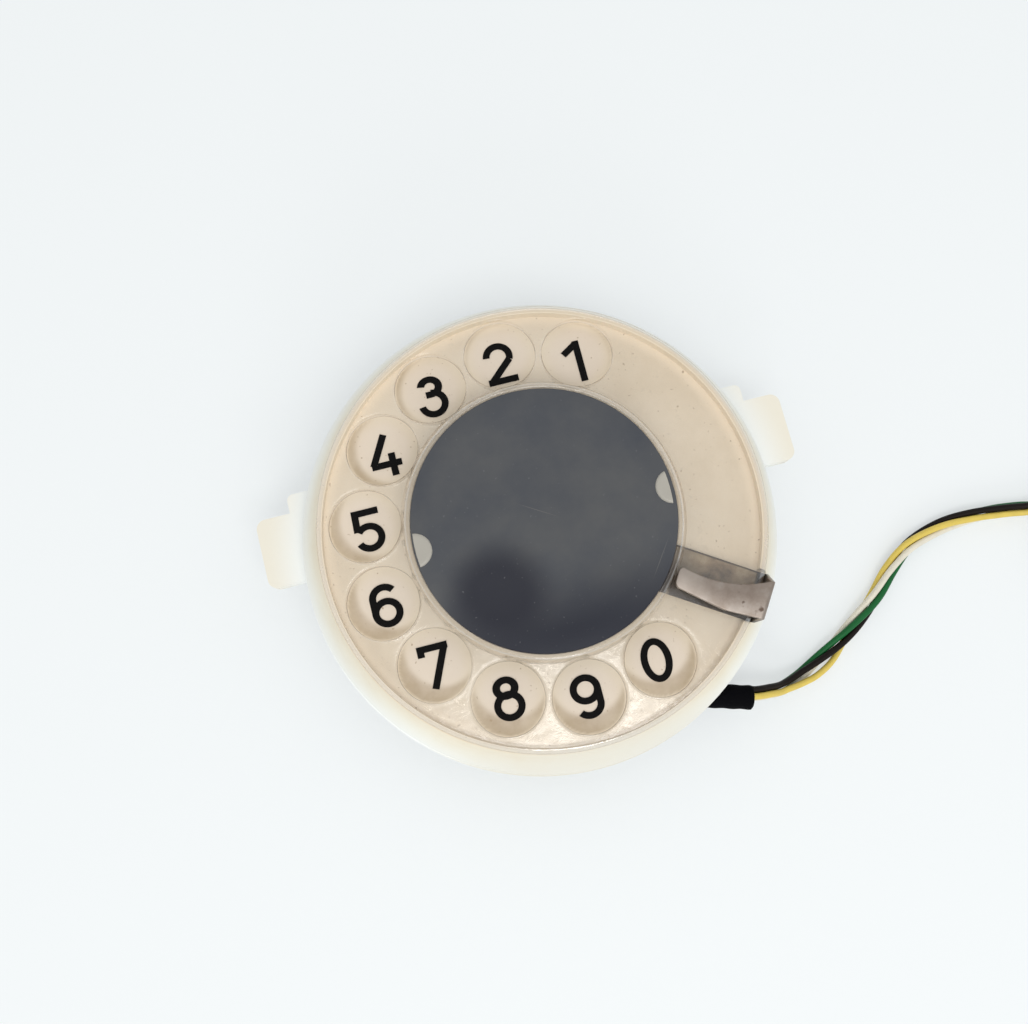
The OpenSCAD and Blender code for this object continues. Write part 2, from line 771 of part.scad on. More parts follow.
module pawl() {
    pawl_t = ratchet_t - 0.1;
    function polar(r, a) = r * [cos(a), sin(a)];
    color("chocolate") difference() {
        union() {
            rotate(pawl_a) translate([pawl_ring_r, 0, 0]) post(1.9, ratchet_z, ratchet_z + pawl_t);
            translate([0, 0, ratchet_z]) linear_extrude(pawl_t) polygon([
                polar(pawl_ring_r + 1.2, pawl_a - 2), polar(ratchet_r + 2.4, nose_a - 1.4),
                polar(ratchet_r - ratchet_depth + 0.3, nose_a), polar(ratchet_r + 0.3, nose_a + 7.1),
                polar(pawl_ring_r - 1.2, pawl_a - 1)]);
        }
        rotate(pawl_a) translate([pawl_ring_r, 0, 0])
            post(pawl_pin_r + run_gap, ratchet_z - 1, ratchet_z + ratchet_t);
    }
}

module pawl_spring() {
    color("silver") rotate(pawl_a + 28) translate([pawl_ring_r - 0.6, -1, 0]) {
        translate([0, 0, hub_z - ratchet_t]) cube([1.2, 2, ratchet_t]);
        translate([0.45, -3, hub_z - ratchet_t]) cube([0.2, 4, ratchet_t - 0.2]);
    }
}

// ---- intermediate group ----

// Square arbor with round pivots, at a place in the plane
module arbor_shaft(p) {
    translate([p[0], p[1], 0]) {
        post(pivot_r, bridge_z + 0.1, square_z0 + eps);
        translate([-square_arbor / 2, -square_arbor / 2, square_z0])
            cube([square_arbor, square_arbor, square_z1 - square_z0]);
        post(pivot_r, square_z1 - eps, floor_z - 0.5);
    }
}

module at_inter() { translate([inter_pos[0], inter_pos[1], 0]) children(); }
module at_gov() { translate([gov_pos[0], gov_pos[1], 0]) children(); }

// Turns that put a tooth of one gear in a gap of the next
phase_main = inter_a - round(inter_a * main_teeth / 360) * 360 / main_teeth;
inter_pinion_turn = inter_a + 180 + (180 + phase_main * main_teeth) / inter_pinion_teeth;
link_a = atan2(gov_pos[1] - inter_pos[1], gov_pos[0] - inter_pos[0]);
gov_pinion_turn = link_a + 180 + 180 / gov_pinion_teeth;
inter_gear_turn = link_a;

module intermediate_shaft() { color("silver") arbor_shaft(inter_pos); }

module intermediate_pinion() {
    color("gold") at_inter() translate([0, 0, main_gear_z - 0.6])
        gear(inter_pinion_teeth, gear_t + 1.2, square_arbor + 2 * fit_gap, inter_pinion_turn);
}

module intermediate_gear() {
    color("khaki") at_inter() translate([0, 0, inter_gear_z])
        gear(inter_teeth, gear_t, square_arbor + 2 * fit_gap, inter_gear_turn);
}

module pulse_cam() {
    color("seashell") at_inter() translate([0, 0, cam_z - 0.4]) linear_extrude(cam_h) difference() {
        union() {
            circle(r = pulse_r);
            rotate(60) square([2 * (pulse_r + pulse_lift) - 0.5, 1.8], center = true);
            for (s = [0, 180]) rotate(60 + s) translate([pulse_r + pulse_lift - 0.9, 0])
                circle(r = 0.9, $fn = 32);
        }
        square(square_arbor + 2 * fit_gap, center = true);
    }
}

// ---- governor group ----

module governor_shaft() { color("silver") arbor_shaft(gov_pos); }

module governor_pinion() {
    color("gold") at_gov() translate([0, 0, inter_gear_z - 0.6])
        gear(gov_pinion_teeth, gear_t + 1.2, square_arbor + 2 * fit_gap, gov_pinion_turn);
}

module fly_bar() {
    color("tan") at_gov() translate([0, 0, fly_z]) linear_extrude(fly_t) difference() {
        union() {
            square([2 * fly_half, 2.6], center = true);
            for (s = [-1, 1]) translate([s * fly_half, 0]) circle(r = 1.3, $fn = 32);
            circle(r = 2.4);
        }
        square(square_arbor + 2 * fit_gap, center = true);
        for (s = [-1, 1]) translate([s * fly_half, 0]) circle(r = weight_pin_r + fit_gap, $fn = 32);
    }
}

module weight_pivots() {
    color("silver") at_gov() for (s = [-1, 1]) translate([s * fly_half, 0, 0])
        post(weight_pin_r, fly_z, weight_z + weight_t + 0.1);
}

// A crescent weight that swings out to rub the cup
module weight() {
    translate([0, 0, weight_z]) linear_extrude(weight_t) difference() {
        union() {
            intersection() {
                difference() {
                    circle(r = weight_r);
                    circle(r = weight_r - 2.5);
                }
                polygon([[0, 0], 20 * [cos(12), sin(12)], [20, 20], [-20, 20], 20 * [cos(158), sin(158)]]);
            }
            translate([fly_half, 0]) circle(r = 1.25, $fn = 32);
            translate([fly_half - 0.6, 0]) square([1.4, 2]);
        }
        translate([fly_half, 0]) circle(r = weight_pin_r + run_gap, $fn = 32);
    }
}

module governor_weight_a() { color("darkgoldenrod") at_gov() weight(); }
module governor_weight_b() { color("darkgoldenrod") at_gov() rotate(180) weight(); }

module governor_springs() {
    color("silver") at_gov() for (s = [0, 180]) rotate(s)
        translate([-1.2, 1.45, fly_z + fly_t - eps]) cube([0.2, weight_r - 2.5 - 1.45 - 0.35, 1.6]);
}

module governor_cup() {
    color("lightgray") at_gov() difference() {
        post(gov_cup_r + gov_cup_wall, gov_cup_z, gov_cup_top);
        post(gov_cup_r, gov_cup_z - 1, gov_cup_top - 0.8);
        post(2, gov_cup_z, gov_cup_top + 1);
    }
}

// ---- contacts ----

block_screw_ps = [for (x = [8.6, 15.4]) [block_x0 + x, block_y1 - block_d / 2]];

// Slots that the contact springs stand in
module leaf_slot(x, side) {
    translate([x - side, block_y1 - leaf_depth, leaf_z - side])
        cube([leaf_t + 2 * side, leaf_depth + 1, leaf_h + 2 * side]);
}

module contact_block() {
    color([0.35, 0.20, 0.12]) difference() {
        translate([block_x0, block_y1 - block_d, bridge_top]) cube([block_w, block_d, block_h]);
        for (x = [pulse_leaf_x, off_leaf_x]) leaf_slot(x, slot_side);
        for (x = [pulse_fixed_x, off_fixed_x]) leaf_slot(x, fit_gap);
        for (p = block_screw_ps) translate([p[0], p[1], 0])
            post(m3_r + 0.1, bridge_top - 1, bridge_top + block_h + 1);
        for (x = tag_xs) translate([x - 0.25, block_y1 - block_d - 1, bridge_top + 2])
            cube([0.5, 3, 3.05]);
    }
}

module contact_block_screws() {
    color("gainsboro") for (p = block_screw_ps) translate([p[0], p[1], bridge_top + block_h])
        slotted_screw(2.6, 1.4, m3_r, block_h + bridge_t);
}

module solder_tags() {
    color("gold") for (x = tag_xs) difference() {
        translate([x - 0.2, block_y1 - block_d - 3.2, bridge_top + 2 + fit_gap])
            cube([0.4, 5.1, 2.9]);
        translate([x - 1, block_y1 - block_d - 2, bridge_top + 3.5]) rotate([0, 90, 0])
            cylinder(r = 0.7, h = 2, $fn = 24);
    }
}

// A contact spring: a flat strip with a contact point
module leaf(x, l, point_y, point_x, point_l) {
    translate([x, block_y1 - leaf_depth + 0.1, leaf_z]) cube([leaf_t, l, leaf_h]);
    translate([point_x, point_y, leaf_z + leaf_h / 2]) rotate([0, 90, 0])
        cylinder(r = contact_r, h = point_l, $fn = 24);
}

pulse_len = inter_pos[1] + 3 - block_y1 + leaf_depth;
off_len = 3 - block_y1 + leaf_depth;
pulse_point_y = -4;
off_point_y = -9;

module pulse_moving_spring() {
    color("wheat") leaf(pulse_leaf_x, pulse_len, pulse_point_y, pulse_leaf_x + leaf_t - eps, 0.4);
}

module pulse_fixed_spring() {
    color("wheat") leaf(pulse_fixed_x, pulse_point_y + 2 - block_y1 + leaf_depth, pulse_point_y,
        pulse_leaf_x + leaf_t + 0.4 + run_gap, pulse_fixed_x - pulse_leaf_x - leaf_t - 0.4);
}

module off_normal_moving_spring() {
    color("wheat") leaf(off_leaf_x, off_len, off_point_y, off_leaf_x + leaf_t - eps, 0.4);
}

module off_normal_fixed_spring() {
    color("wheat") leaf(off_fixed_x, off_point_y + 2 - block_y1 + leaf_depth, off_point_y,
        off_leaf_x + leaf_t + 0.9, off_fixed_x - off_leaf_x - leaf_t - 0.8);
}

// ---- lead ----

sleeve_bore = sleeve_d / 2 - 0.45;
sleeve_way = [cos(sleeve_a), sin(sleeve_a), 0];
sleeve_start = sleeve_mouth - sleeve_l * sleeve_way;
clip_w = 3;
clip_t = 0.8;
clip_at = sleeve_start + 4 * sleeve_way;
clip_screw_p = clip_at + 6.4 * [-sin(sleeve_a), cos(sleeve_a), 0];
clip_hole_r = 1.25;

module along_sleeve() {
    translate(sleeve_start) rotate([0, 0, sleeve_a]) rotate([0, 90, 0]) children();
}

module lead_sleeve() {
    color([0.05, 0.05, 0.06]) along_sleeve() difference() {
        cylinder(d = sleeve_d, h = sleeve_l);
        translate([0, 0, -1]) cylinder(r = sleeve_bore, h = sleeve_l + 2);
    }
}

module lead_clip() {
    ring_r = sleeve_d / 2 + fit_gap;
    color("lightgray") difference() {
        union() {
            along_sleeve() translate([0, 0, 4 - clip_w / 2]) cylinder(r = ring_r + clip_t, h = clip_w);
            translate([clip_at[0], clip_at[1], bridge_top]) rotate(sleeve_a) {
                translate([-clip_w / 2, -1.2, 0]) cube([clip_w, 2.4, sleeve_mouth[2] - bridge_top]);
                translate([-clip_w / 2, -1.2, 0]) cube([clip_w, 9.4, clip_t]);
            }
        }
        along_sleeve() translate([0, 0, -1]) cylinder(r = ring_r, h = 9);
        translate([clip_screw_p[0], clip_screw_p[1], 0])
            post(clip_hole_r + fit_gap, bridge_top - 1, bridge_top + 2);
    }
}

module lead_clip_screw() {
    color("gainsboro") translate([clip_screw_p[0], clip_screw_p[1], bridge_top + clip_t])
        slotted_screw(2.2, 1.2, clip_hole_r, clip_t + bridge_t);
}

// Where strand k lies around the bundle's middle, across and up
function strand(k, turn) = strand_r * sqrt(2) * [cos(90 * k + turn), sin(90 * k + turn)];

tag_y = block_y1 - block_d - 3.25;
lane_gap = wire_d + 0.15;

// Ring of points around a point of a path, square to the path's direction
function ring_at(c, way, r, sides) =
    let (f = way / norm(way), x = cross(f, [0, 0, 1]), side = x / norm(x), up = cross(side, f))
    [for (j = [0:sides - 1]) c + r * (cos(360 * j / sides) * side + sin(360 * j / sides) * up)];

// A tube of eight sides swept along points, as one polyhedron
module swept_wire(points, r) {
    sides = 8;
    n = len(points);
    ways = [for (i = [0:n - 1]) points[min(i + 1, n - 1)] - points[max(i - 1, 0)]];
    verts = [for (i = [0:n - 1]) each ring_at(points[i], ways[i], r, sides)];
    walls = [for (i = [0:n - 2], j = [0:sides - 1])
        [i * sides + j, i * sides + (j + 1) % sides, (i + 1) * sides + (j + 1) % sides, (i + 1) * sides + j]];
    polyhedron(verts, concat([[for (j = [sides - 1:-1:0]) j]], walls,
        [[for (j = [0:sides - 1]) (n - 1) * sides + j]]));
}

// Strand that each solder tag feeds, from left to right
tag_strands = [1, 0, 3, 2];

module inner_wires() {
    low = bridge_top + 3.4;
    side = cross(sleeve_way, [0, 0, 1]);
    color("white") for (j = [0:3]) {
        s = strand(tag_strands[j], twists[0]);
        off = s[0] * side + [0, 0, s[1]];
        lane_y = tag_y - 1.4 - lane_gap * (3 - j);
        swept_wire([
            [tag_xs[j], tag_y - 0.4, low],
            [tag_xs[j] + 1.2, (tag_y + lane_y) / 2 - 0.4, low],
            [tag_xs[j] + 4.5, lane_y, low],
            [-1 + 0.8 * j, lane_y, low + off[2]],
            sleeve_start - 4 * sleeve_way + 1.5 * off,
            sleeve_start + 0.5 * sleeve_way + off], wire_d / 2 - 0.05);
    }
}

function strand_path(k) = [for (i = [0:len(route) - 1])
    let (way = route[min(i + 1, len(route) - 1)] - route[max(i - 1, 0)],
        side = cross(way, [0, 0, 1]) / norm(cross(way, [0, 0, 1])),
        up = cross(side, way) / norm(way),
        s = strand(k, twists[i]))
    route[i] + s[0] * side + s[1] * up];

// Tail of strand k, from the coil's outer face into its fork's barrel
function tail_path(k) =
    let (way = [cos(leave_a - 90), sin(leave_a - 90)],
        s = strand(k, leave_turn),
        start = leave_p + 6 * way + s[0] * [way[1], -way[0]],
        fan = [cos(fork_as[k]), sin(fork_as[k])],
        mouth = leave_p + tail_l * fan,
        before = mouth - 3 * fan,
        inside = mouth + 1.5 * fan)
    [[start[0], start[1], route[10][2] + s[1]], [before[0], before[1], fork_z],
        [mouth[0], mouth[1], fork_z], [inside[0], inside[1], fork_z]];

module wire(k) {
    swept_wire(strand_path(k), wire_d / 2 - 0.02);
    swept_wire(tail_path(k), wire_d / 2 - 0.02);
}

module wire_white() { color("ivory") wire(0); }
module wire_yellow() { color([0.88, 0.72, 0.18]) wire(1); }
module wire_green() { color([0.05, 0.45, 0.22]) wire(3); }
module wire_brown() { color([0.10, 0.07, 0.05]) wire(2); }

module lead_coil() {
    color([0.30, 0.30, 0.20]) translate([coil_centre[0], coil_centre[1], 0]) rotate_extrude()
        translate([coil_in_r, 0]) rounded(coil_out_r - coil_in_r, coil_h, 0.8);
}

module coil_tie() {
    tie_a = 250;
    tie_t = 0.8;
    color("white") translate([coil_centre[0], coil_centre[1], 0]) rotate(tie_a)
        translate([coil_in_r - tie_t - 0.1, -1.25, 0]) difference() {
            cube([coil_out_r - coil_in_r + 2 * tie_t + 0.2, 2.5, coil_h + tie_t + 0.1]);
            translate([tie_t, -1, -1]) cube([coil_out_r - coil_in_r + 0.2, 5, coil_h + 1.1]);
        }
}

// Fork terminals in a fan beside the coil
module fork_terminals() {
    color("silver") translate([leave_p[0], leave_p[1], fork_z])
    for (a = fork_as) rotate(a) translate([tail_l, 0, 0]) rotate([0, 90, 0]) {
        difference() {
            cylinder(r = 1.15, h = 5, $fn = 32);
            translate([0, 0, -1]) cylinder(r = wire_d / 2, h = 5.2, $fn = 32);
        }
        translate([0.35, -3.2, 4.8]) difference() {
            cube([0.8, 6.4, 7.5]);
            translate([-1, 3.2 - 1.6, 3.4]) cube([3, 3.2, 5]);
            translate([-1, 3.2, 3.4]) rotate([0, 90, 0]) cylinder(r = 1.6, h = 3, $fn = 32);
        }
    }
}

casing();
number_plate();
numerals();
finger_stop();
finger_stop_screws();
finger_wheel();
centre_disc();
wheel_screw();
wheel_washer();
spindle();
spindle_bush();
bridge_bush();
spring_arbor();
main_spring();
spring_cup();
ratchet_wheel();
off_normal_cam();
stop_arm();
stop_pin();
main_gear();
gear_hub();
pawl();
pawl_pivot();
pawl_spring();
intermediate_shaft();
intermediate_pinion();
intermediate_gear();
pulse_cam();
governor_shaft();
governor_pinion();
fly_bar();
weight_pivots();
governor_springs();
governor_weight_a();
governor_weight_b();
governor_cup();
rear_bridge();
pillars();
pillar_screws();
bridge_nuts();
contact_block();
contact_block_screws();
solder_tags();
pulse_fixed_spring();
pulse_moving_spring();
off_normal_fixed_spring();
off_normal_moving_spring();
lead_sleeve();
lead_clip();
lead_clip_screw();
inner_wires();
wire_white();
wire_yellow();
wire_green();
wire_brown();
lead_coil();
coil_tie();
fork_terminals();
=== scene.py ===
"""Rotary dial unit of a telephone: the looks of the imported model."""

import json
import math

import bmesh
import bpy
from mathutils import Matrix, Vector
from mathutils.geometry import delaunay_2d_cdt


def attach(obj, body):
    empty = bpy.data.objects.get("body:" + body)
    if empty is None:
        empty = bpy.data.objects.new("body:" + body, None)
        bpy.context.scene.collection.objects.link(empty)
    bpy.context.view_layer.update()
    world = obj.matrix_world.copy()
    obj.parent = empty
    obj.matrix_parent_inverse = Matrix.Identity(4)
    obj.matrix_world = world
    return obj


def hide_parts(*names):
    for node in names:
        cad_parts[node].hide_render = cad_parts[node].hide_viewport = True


MM = 0.001
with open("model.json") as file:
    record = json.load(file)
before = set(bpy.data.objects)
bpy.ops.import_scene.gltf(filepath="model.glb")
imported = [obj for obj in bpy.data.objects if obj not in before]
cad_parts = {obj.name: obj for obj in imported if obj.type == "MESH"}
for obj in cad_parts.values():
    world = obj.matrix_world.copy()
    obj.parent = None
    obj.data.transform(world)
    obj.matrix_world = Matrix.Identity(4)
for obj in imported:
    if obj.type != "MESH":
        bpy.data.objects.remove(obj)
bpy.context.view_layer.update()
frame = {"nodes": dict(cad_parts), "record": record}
nodes = frame["nodes"]

scene = bpy.context.scene
scene.view_settings.view_transform = "Standard"


# ---- helpers ----

def rgb(r, g, b):
    """A colour given as 0-255 screen values, as linear RGBA."""
    parts = []
    for v in (r, g, b):
        v = v / 255
        parts.append(v / 12.92 if v <= 0.04045 else ((v + 0.055) / 1.055) ** 2.4)
    return (*parts, 1.0)


def polar(r, degrees, z=0.0):
    """A point in millimetres from its radius and direction around the dial's axis."""
    a = math.radians(degrees)
    return Vector((r * math.cos(a), r * math.sin(a), z))


def smooth(t):
    t = min(max(t, 0.0), 1.0)
    return t * t * (3 - 2 * t)


def mix(a, b, t):
    return a + (b - a) * t


def add_object(name, data, body="base"):
    obj = bpy.data.objects.new(name, data)
    scene.collection.objects.link(obj)
    if body:
        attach(obj, body)
    return obj


def add_mesh(name, points, faces, slot, body="base", sharp=None, replaces=()):
    """A smooth-shaded piece from points in millimetres, with edges above an angle kept sharp."""
    mesh = bpy.data.meshes.new(name)
    mesh.from_pydata([tuple(Vector(p) * MM) for p in points], [], faces)
    mesh.validate()
    mesh.polygons.foreach_set("use_smooth", [True] * len(mesh.polygons))
    if sharp:
        mesh.set_sharp_from_angle(angle=math.radians(sharp))
    obj = add_object(name, mesh, body)
    finish_with(obj, slot)
    if replaces:
        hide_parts(*replaces)
    return obj


def stitch(faces, ring_a, ring_b):
    """Quads between two closed rings of point numbers, ring_a above or outside ring_b."""
    n = len(ring_a)
    for i in range(n):
        j = (i + 1) % n
        faces.append((ring_a[i], ring_b[i], ring_b[j], ring_a[j]))


def add_ring(points, r, z, sides):
    """Adds a level ring around the dial's axis and returns its point numbers."""
    start = len(points)
    points.extend(polar(r, 360 * i / sides, z) for i in range(sides))
    return list(range(start, start + sides))


def loft(faces, rings, caps=True):
    """Joins rings of point numbers one after another, and closes the first and last."""
    for a, b in zip(rings, rings[1:]):
        stitch(faces, b, a)
    if caps:
        faces.append(tuple(reversed(rings[0])))
        faces.append(tuple(rings[-1]))


def tube(line, radius, sides=12, caps=True):
    """Points and faces of a round tube along a line, with a frame carried along without twist."""
    points, faces, rings = [], [], []
    side = None
    for i, p in enumerate(line):
        way = (line[min(i + 1, len(line) - 1)] - line[max(i - 1, 0)]).normalized()
        side = way.orthogonal() if side is None else side
        side = (side - way * side.dot(way)).normalized()
        up = way.cross(side)
        r = radius(i / (len(line) - 1)) if callable(radius) else radius
        rings.append(list(range(len(points), len(points) + sides)))
        for k in range(sides):
            a = 2 * math.pi * k / sides
            points.append(p + r * (math.cos(a) * side + math.sin(a) * up))
    loft(faces, rings, caps)
    return points, faces


# ---- camera ----

CAMERA_AT = Vector((-14.796, -25.203, 216.084)) * MM
CAMERA_TURN = (9.108, -0.930, -14.4)
FOCAL_PX = 1100
FRAME_PX = 1028

camera = bpy.data.cameras.new("camera")
camera.sensor_width = 36
camera.lens = FOCAL_PX / FRAME_PX * camera.sensor_width
camera.clip_start = 0.01
camera.clip_end = 20
camera_obj = bpy.data.objects.new("camera", camera)
camera_obj.location = CAMERA_AT
camera_obj.rotation_euler = [math.radians(v) for v in CAMERA_TURN]
scene.collection.objects.link(camera_obj)
scene.camera = camera_obj


# ---- materials ----

class Shader:
    """A new material with a Principled shader and short calls for its nodes."""

    def __init__(self, name, color, roughness=0.5, metallic=0.0, **inputs):
        self.material = bpy.data.materials.new(name)
        self.material.use_nodes = True
        self.tree = self.material.node_tree
        self.bsdf = self.tree.nodes["Principled BSDF"]
        self.out = self.tree.nodes["Material Output"]
        self.set("Base Color", color)
        self.set("Roughness", roughness)
        self.set("Metallic", metallic)
        for key, value in inputs.items():
            self.set(key.replace("_", " "), value)
        self.coords = None

    def set(self, name, value):
        self.bsdf.inputs[name].default_value = value

    def node(self, kind, **values):
        made = self.tree.nodes.new(kind)
        for key, value in values.items():
            if key in made.inputs:
                made.inputs[key].default_value = value
            elif key.replace("_", " ") in made.inputs:
                made.inputs[key.replace("_", " ")].default_value = value
            else:
                setattr(made, key, value)
        return made

    def link(self, a, b):
        self.tree.links.new(a, b)

    def position(self):
        if self.coords is None:
            self.coords = self.node("ShaderNodeTexCoord").outputs["Object"]
        return self.coords

    def feed(self, sockets, values):
        """Links each value to its input if it is a socket, and sets the input to it if not."""
        for socket, value in zip(sockets, values):
            if isinstance(value, bpy.types.NodeSocket):
                self.link(value, socket)
            else:
                socket.default_value = value

    def along(self, axis, low_mm, high_mm):
        """0 to 1 between two places along an axis; falls if the first is the larger."""
        parts = self.node("ShaderNodeSeparateXYZ")
        self.link(self.position(), parts.inputs["Vector"])
        return self.between(parts.outputs[axis], low_mm * MM, high_mm * MM)

    def distance_along(self, way):
        """How far a point lies along a level direction from the dial's axis, in metres."""
        made = self.node("ShaderNodeVectorMath", operation="DOT_PRODUCT")
        made.inputs[1].default_value = way
        self.link(self.position(), made.inputs[0])
        return made.outputs["Value"]

    def radius(self, low_mm, high_mm):
        """0 to 1 between two distances from the dial's axis; falls if the first is the larger."""
        flat = self.node("ShaderNodeVectorMath", operation="MULTIPLY")
        flat.inputs[1].default_value = (1, 1, 0)
        self.link(self.position(), flat.inputs[0])
        length = self.node("ShaderNodeVectorMath", operation="LENGTH")
        self.link(flat.outputs["Vector"], length.inputs[0])
        return self.between(length.outputs["Value"], low_mm * MM, high_mm * MM)

    def between(self, value, low, high):
        made = self.node("ShaderNodeMapRange", interpolation_type="SMOOTHSTEP")
        made.inputs["From Min"].default_value = low
        made.inputs["From Max"].default_value = high
        self.link(value, made.inputs["Value"])
        return made.outputs["Result"]

    def times(self, a, b):
        made = self.node("ShaderNodeMath", operation="MULTIPLY")
        self.feed(made.inputs, (a, b))
        return made.outputs["Value"]

    def noise(self, scale, detail=3, roughness=0.5):
        """Noise over the object's own place, in waves per metre."""
        made = self.node("ShaderNodeTexNoise", Scale=scale, Detail=detail, Roughness=roughness)
        self.link(self.position(), made.inputs["Vector"])
        return made.outputs["Fac"]

    def ramp(self, value, stops):
        """Colours or greys laid over a value: stops are (place, colour)."""
        made = self.node("ShaderNodeValToRGB")
        ramp = made.color_ramp
        while len(ramp.elements) > 1:
            ramp.elements.remove(ramp.elements[-1])
        for i, (place, color) in enumerate(stops):
            element = ramp.elements[0] if i == 0 else ramp.elements.new(place)
            element.position = place
            element.color = color if hasattr(color, "__len__") else (color, color, color, 1)
        self.link(value, made.inputs["Fac"])
        return made.outputs["Color"]

    def blend(self, amount, a, b):
        """Mixes two colours, given as values or sockets, by an amount."""
        made = self.node("ShaderNodeMix", data_type="RGBA")
        # these are the node's inputs and output for colours
        self.feed((made.inputs[0], made.inputs[6], made.inputs[7]), (amount, a, b))
        return made.outputs[2]

    def scratch(self, turn, at, low, high, half_width=0.00005, fade=0.004):
        """A hairline across the object: 1 on the line that lies turned, at a distance, between two ends."""
        place = self.distance_along((math.cos(turn), math.sin(turn), 0))
        off = self.distance_along((-math.sin(turn), math.cos(turn), 0))
        near = self.node("ShaderNodeMath", operation="COMPARE")
        near.inputs[1].default_value = at
        near.inputs[2].default_value = half_width
        self.link(off, near.inputs[0])
        ends = self.times(self.between(place, low, low + fade), self.between(place, high, high - fade))
        return self.times(near.outputs["Value"], ends)

    def painted(self, name):
        """The red, green and blue parts of a colour attribute."""
        parts = self.node("ShaderNodeSeparateColor")
        self.link(self.node("ShaderNodeAttribute", attribute_name=name).outputs["Color"], parts.inputs[0])
        return parts.outputs

    def color(self, socket):
        self.link(socket, self.bsdf.inputs["Base Color"])

    def rough(self, value, low, high):
        """Roughness that follows a value between two levels."""
        made = self.node("ShaderNodeMapRange")
        made.inputs["To Min"].default_value = low
        made.inputs["To Max"].default_value = high
        self.link(value, made.inputs["Value"])
        self.link(made.outputs["Result"], self.bsdf.inputs["Roughness"])

    def bump(self, value, depth_mm):
        made = self.node("ShaderNodeBump", Strength=1.0, Distance=depth_mm * MM)
        self.link(value, made.inputs["Height"])
        self.link(made.outputs["Normal"], self.bsdf.inputs["Normal"])

    def mixed(self, amount, a, b):
        """Mixes two shaders and returns the mix."""
        made = self.node("ShaderNodeMixShader")
        self.feed(made.inputs, (amount, a, b))
        return made.outputs["Shader"]


def plain(name, color, roughness, metallic=0.0, wear=0.12, grain=900, depth=0.02, **inputs):
    """A finish with a little unevenness in its colour, gloss and surface."""
    s = Shader(name, color, roughness, metallic, **inputs)
    cloud = s.noise(grain, 4, 0.6)
    dark = tuple(c * (1 - wear) for c in color[:3]) + (1.0,)
    s.color(s.ramp(cloud, [(0.3, dark), (0.7, color)]))
    s.rough(cloud, roughness * 0.85, min(1.0, roughness * 1.2))
    s.bump(s.noise(grain * 4, 2), depth)
    return s.material


def casing_plastic():
    """Ivory that pales to white down the flare and at the ears, warm at the rim by the plate; painted light
    on the rim's inner wall by the plate, and painted shade on the side towards -Y.
    """
    s = Shader("casing_plastic", rgb(240, 237, 222), 0.5, IOR=1.5, Specular_IOR_Level=0.3)
    down = s.ramp(s.along("Z", 15, 27), [
        (0.0, rgb(243, 246, 244)), (0.35, rgb(241, 241, 232)), (0.7, rgb(238, 234, 218)),
        (1.0, rgb(235, 225, 202))])
    rim = s.times(s.radius(39.4, 39.1), s.along("Z", 24, 25))
    # painted light: the rim's inner wall, shaded in its step by the plate, is made paler
    inside = s.times(s.radius(38.55, 38.35), s.along("Z", 24, 25))
    warm = s.blend(rim, down, rgb(226, 210, 184))
    warm = s.blend(inside, warm, rgb(246, 232, 208))
    warm = s.blend(s.radius(42.5, 51), warm, rgb(238, 233, 218))
    # painted shade: the casing is darker on its side towards -Y
    warm = s.blend(s.times(s.along("Y", -30, -42), 0.75), warm, rgb(221, 217, 204))
    grime = s.times(s.ramp(s.noise(110, 4, 0.6), [(0.45, 0.0), (0.8, 0.5)]), s.along("Z", 16, 26))
    s.color(s.blend(grime, warm, rgb(222, 208, 180)))
    s.rough(s.noise(300, 3), 0.38, 0.52)
    s.bump(s.noise(1800, 2), 0.01)
    return s.material


def plate_enamel():
    """Beige enamel: mottled, with painted light under the finger holes and at the rim, and tan at the
    holes' outer sides that is a painted shadow of their walls, partly grime.
    """
    s = Shader("plate_enamel", rgb(220, 204, 179), 0.5, IOR=1.5)
    cloud = s.noise(70, 5, 0.65)
    base = s.ramp(cloud, [(0.3, rgb(220, 204, 179)), (0.5, rgb(227, 212, 189)),
                          (0.72, rgb(231, 218, 197))])
    # the wear attribute holds tan crescents that are painted shadow of the holes' walls, partly grime;
    # painted light under the holes; and painted light at the plate's edge
    dirt_and_shade, pale, edge = s.painted("wear")[:3]
    uneven = s.ramp(s.noise(230, 4, 0.6), [(0.3, 0.6), (0.65, 1.0)])
    # painted light: paler under the finger holes
    painted_light_under_holes = s.blend(s.times(pale, 0.5), base, rgb(231, 217, 203))
    # painted light: paler towards the plate's edge, against the shade by the casing's rim
    light = s.blend(s.times(edge, 0.8), painted_light_under_holes, rgb(248, 234, 212))
    # painted shadow of the holes' walls, partly grime: the tan crescents
    tan = s.blend(s.times(dirt_and_shade, uneven), light, rgb(158, 134, 98))
    specks = s.ramp(s.noise(1500, 2, 0.4), [(0.70, 0.0), (0.77, 0.9)])
    s.color(s.blend(specks, tan, rgb(178, 156, 128)))
    s.rough(cloud, 0.42, 0.58)
    s.bump(s.noise(2600, 2), 0.01)
    return s.material


# gloss of clear plastic and its largest share, and the least milkiness where it is seen edge on
GLOSS_IOR = 1.65
MOST_GLOSS = 0.27
EDGE_MILK = 0.4


